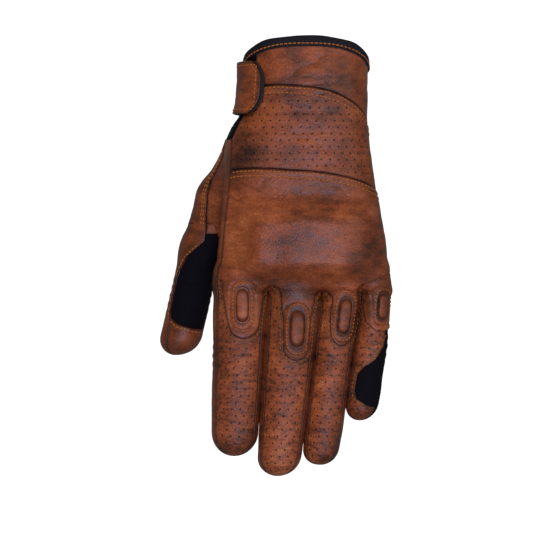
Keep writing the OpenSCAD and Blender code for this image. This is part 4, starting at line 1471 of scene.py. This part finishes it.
# %% Stitches on the thumb
zs = np.linspace(-56, CROTCH_Z, 200)
rows = [stitch_row(*on_chart(thumb_chart, zs, side_psi(zs) + a, THUMB_RAISED)) for a in (7, 14)]
rows.append(stitch_row(*on_chart(rear_chart, zs, rear_to(zs) - 2, THUMB_RAISED)))
count += thread_piece("thumb_thread", rows, "hand")
zs = np.linspace(-106, -126, 60)
rows = [stitch_row(*on_chart(thumb_chart, zs, insert_edge(zs) + 8, THUMB_RAISED))]
count += thread_piece("thumb_base_thread", rows, bend=thumb_bend_of(False))
zs = np.linspace(-128, -147, 60)
psi = np.linspace(18, 128, 60)
rows = [stitch_row(*on_chart(thumb_end_chart, zs, insert_edge(zs) + 8, THUMB_RAISED)),
        stitch_row(*on_chart(thumb_end_chart, insert_foot(psi) - 1.8, psi, THUMB_RAISED))]
count += thread_piece("thumb_end_thread", rows, bend=thumb_bend_of(True))

# %% Stitches on strap and patch
ROWS_AT = (STRAP_TOP - 2.7, STRAP_END + 2.7)     # heights of the strap's two long rows
share = np.linspace(0, 1, 200)


def strap_row(z, turn, lowered=0):
    """A row on the strap's outer face."""
    return stitch_row(*on_chart(hand_chart, z + 0 * share, turn, STRAP["raised"] + 0.05 + lowered,
                                STRAP["rough"]))


rows = [strap_row(z, lerp(133.0, 178.5, share)) for z in ROWS_AT]
rows.append(strap_row(lerp(*ROWS_AT, share), 132.5 + 0 * share))
count += thread_piece("strap_thread", rows, "strap_tab_part")
turn = lerp(BASE_FROM + 2, BASE_TO - 3, share)
rows = [strap_row(z, turn, sunk_in(hand_chart(z + 0 * share, turn))) for z in ROWS_AT]
count += thread_piece("strap_base_thread", rows, "hand")
edge = patch_chart(np.full(300, 1 - PATCH_SEAM / patch_half[0]), np.linspace(0, 360, 300))
row = stitch_row(edge + PATCH_UP * 0.55, np.broadcast_to(PATCH_UP, edge.shape))
count += thread_piece("patch_thread", [row], "hand")

# %% Stitches on the fingers
STITCH_SHARE = 0.84     # where a pad's ring of stitches lies between its spine and its rim


def beside_tongue(name, away):
    """A path on the finger's back, away millimetres outside a tongue's outline."""
    _, path = outline_distance(name)
    way = np.gradient(path, axis=0)
    out = np.stack([-way[:, 1], way[:, 0]], 1)
    out /= np.maximum(np.linalg.norm(out, axis=1, keepdims=True), 1e-9)
    inwards = np.sum(out * (path - path.mean(axis=0))) < 0
    path = path - out * away * (1 if inwards else -1)
    path = path[path[:, 1] < TONGUE_TOP - 1]
    return on_chart(front_chart, path[:, 1], path[:, 0])


for name in FINGERS:
    if name != "little":
        rows = [stitch_row(*beside_tongue(name, 1.5), long=1.6, wide=0.4)]
        count += thread_piece(name + "_edging_thread", rows, bend=bend_of(name, False),
                              coat=darker_thread)
    px, pz = pad_place(name, STITCH_SHARE, np.radians(np.linspace(0, 360, 160)))
    keep = px < tubes[name].centre(pz)[..., 0] + 8.4
    ring = on_chart(front_chart, pz[keep], px[keep], 1.2, 0.5)
    count += thread_piece(name + "_tongue_thread", [stitch_row(*ring, long=1.3, pitch=2.2, wide=0.34)],
                          bend=bend_of(name, False))
zs = np.linspace(-158, -198, 160)
row = on_chart(finger_end(tubes["little"]), zs, insert_turn(zs) + 12, 0.0, 0.7)
count += thread_piece("little_end_thread", [stitch_row(*row)], bend=bend_of("little", True),
                      coat=darker_thread)
print("stitches:", count)

# %% [markdown]
# ## Floor, light and camera
# The glove is shown as cut out on white, in a wide bowl of white paper well below the fingertips.
# The lamps are a large soft key from the upper left, a weak fill from the right, a cool low lamp
# whose sheen shows on the knuckles and fingers, and one behind for the views from there.

# %% Stage


def add_light(name, place, turn, size, power, colour=(1, 1, 1)):
    """A square lamp: place in metres, turn in degrees, size in metres, power in watts."""
    data = bpy.data.lights.new(name, "AREA")
    data.size, data.energy, data.color = size, power, colour
    lamp = bpy.data.objects.new(name, data)
    lamp.location, lamp.rotation_euler = place, [math.radians(a) for a in turn]
    bpy.context.scene.collection.objects.link(lamp)
    return lamp


FLOOR, FLAT, BOWL = -330, 3000, 3500     # height of the floor, its flat radius, and its bend's radius
RINGS = 23
t = np.radians(np.linspace(0, 88, RINGS))[:, None]
around = np.radians(np.arange(0, 360, 7.5))[None]
reach_out = FLAT * (np.arange(RINGS) > 0)[:, None] + BOWL * np.sin(t)
p = np.stack([reach_out * np.cos(around), reach_out * np.sin(around),
              FLOOR + BOWL * (1 - np.cos(t)) + 0 * around], -1)
k = np.arange(p[..., 0].size).reshape(p.shape[:2])
after = np.roll(k, -1, 1)
faces = np.stack([k[:-1], after[:-1], after[1:], k[1:]], -1).reshape(-1, 4)
floor = write_mesh("paper_bowl", p.reshape(-1, 3), faces)
# The paper is only a ground to look at: the lamps and the surround light the glove
floor.visible_glossy = floor.visible_diffuse = floor.visible_shadow = False
paper, tree, shader = new_material("matt_white_paper")
shader.inputs["Base Color"].default_value = srgb("#FAFAFA")
shader.inputs["Roughness"].default_value = 0.9
shader.inputs["Emission Color"].default_value = (1, 1, 1, 1)
shader.inputs["Emission Strength"].default_value = 0.85
floor.data.materials.append(paper)
world = bpy.data.worlds.new("surround")
bpy.context.scene.world = world
world.use_nodes = True
world.node_tree.nodes["Background"].inputs["Color"].default_value = (1, 1, 1, 1)
world.node_tree.nodes["Background"].inputs["Strength"].default_value = 0.26
key = add_light("key", (-0.3, -0.9, 0.55), (60, 0, -18), 0.6, 9.6)
key.visible_glossy = False
add_light("fill", (0.75, -0.75, 0.0), (86, 0, 45), 0.5, 2.0)
add_light("low", (0.1, -0.95, -0.42), (107, 0, 6), 0.45, 7.6, (0.8, 0.76, 1.0))
add_light("behind", (0.1, 0.9, 0.5), (-65, 0, 0), 0.6, 5)

camera_data = bpy.data.cameras.new("camera")
camera_data.lens = 200
camera = bpy.data.objects.new("camera", camera_data)
bpy.context.scene.collection.objects.link(camera)
AIM_X, AIM_Z, FIELD = -22.9, -118.6, 309.1
distance = FIELD * MM * camera_data.lens / camera_data.sensor_width
camera.location = (AIM_X * MM, -distance, AIM_Z * MM)
camera.rotation_euler = (math.radians(90), 0, 0)
bpy.context.scene.camera = camera
bpy.context.scene.view_settings.view_transform = "Standard"
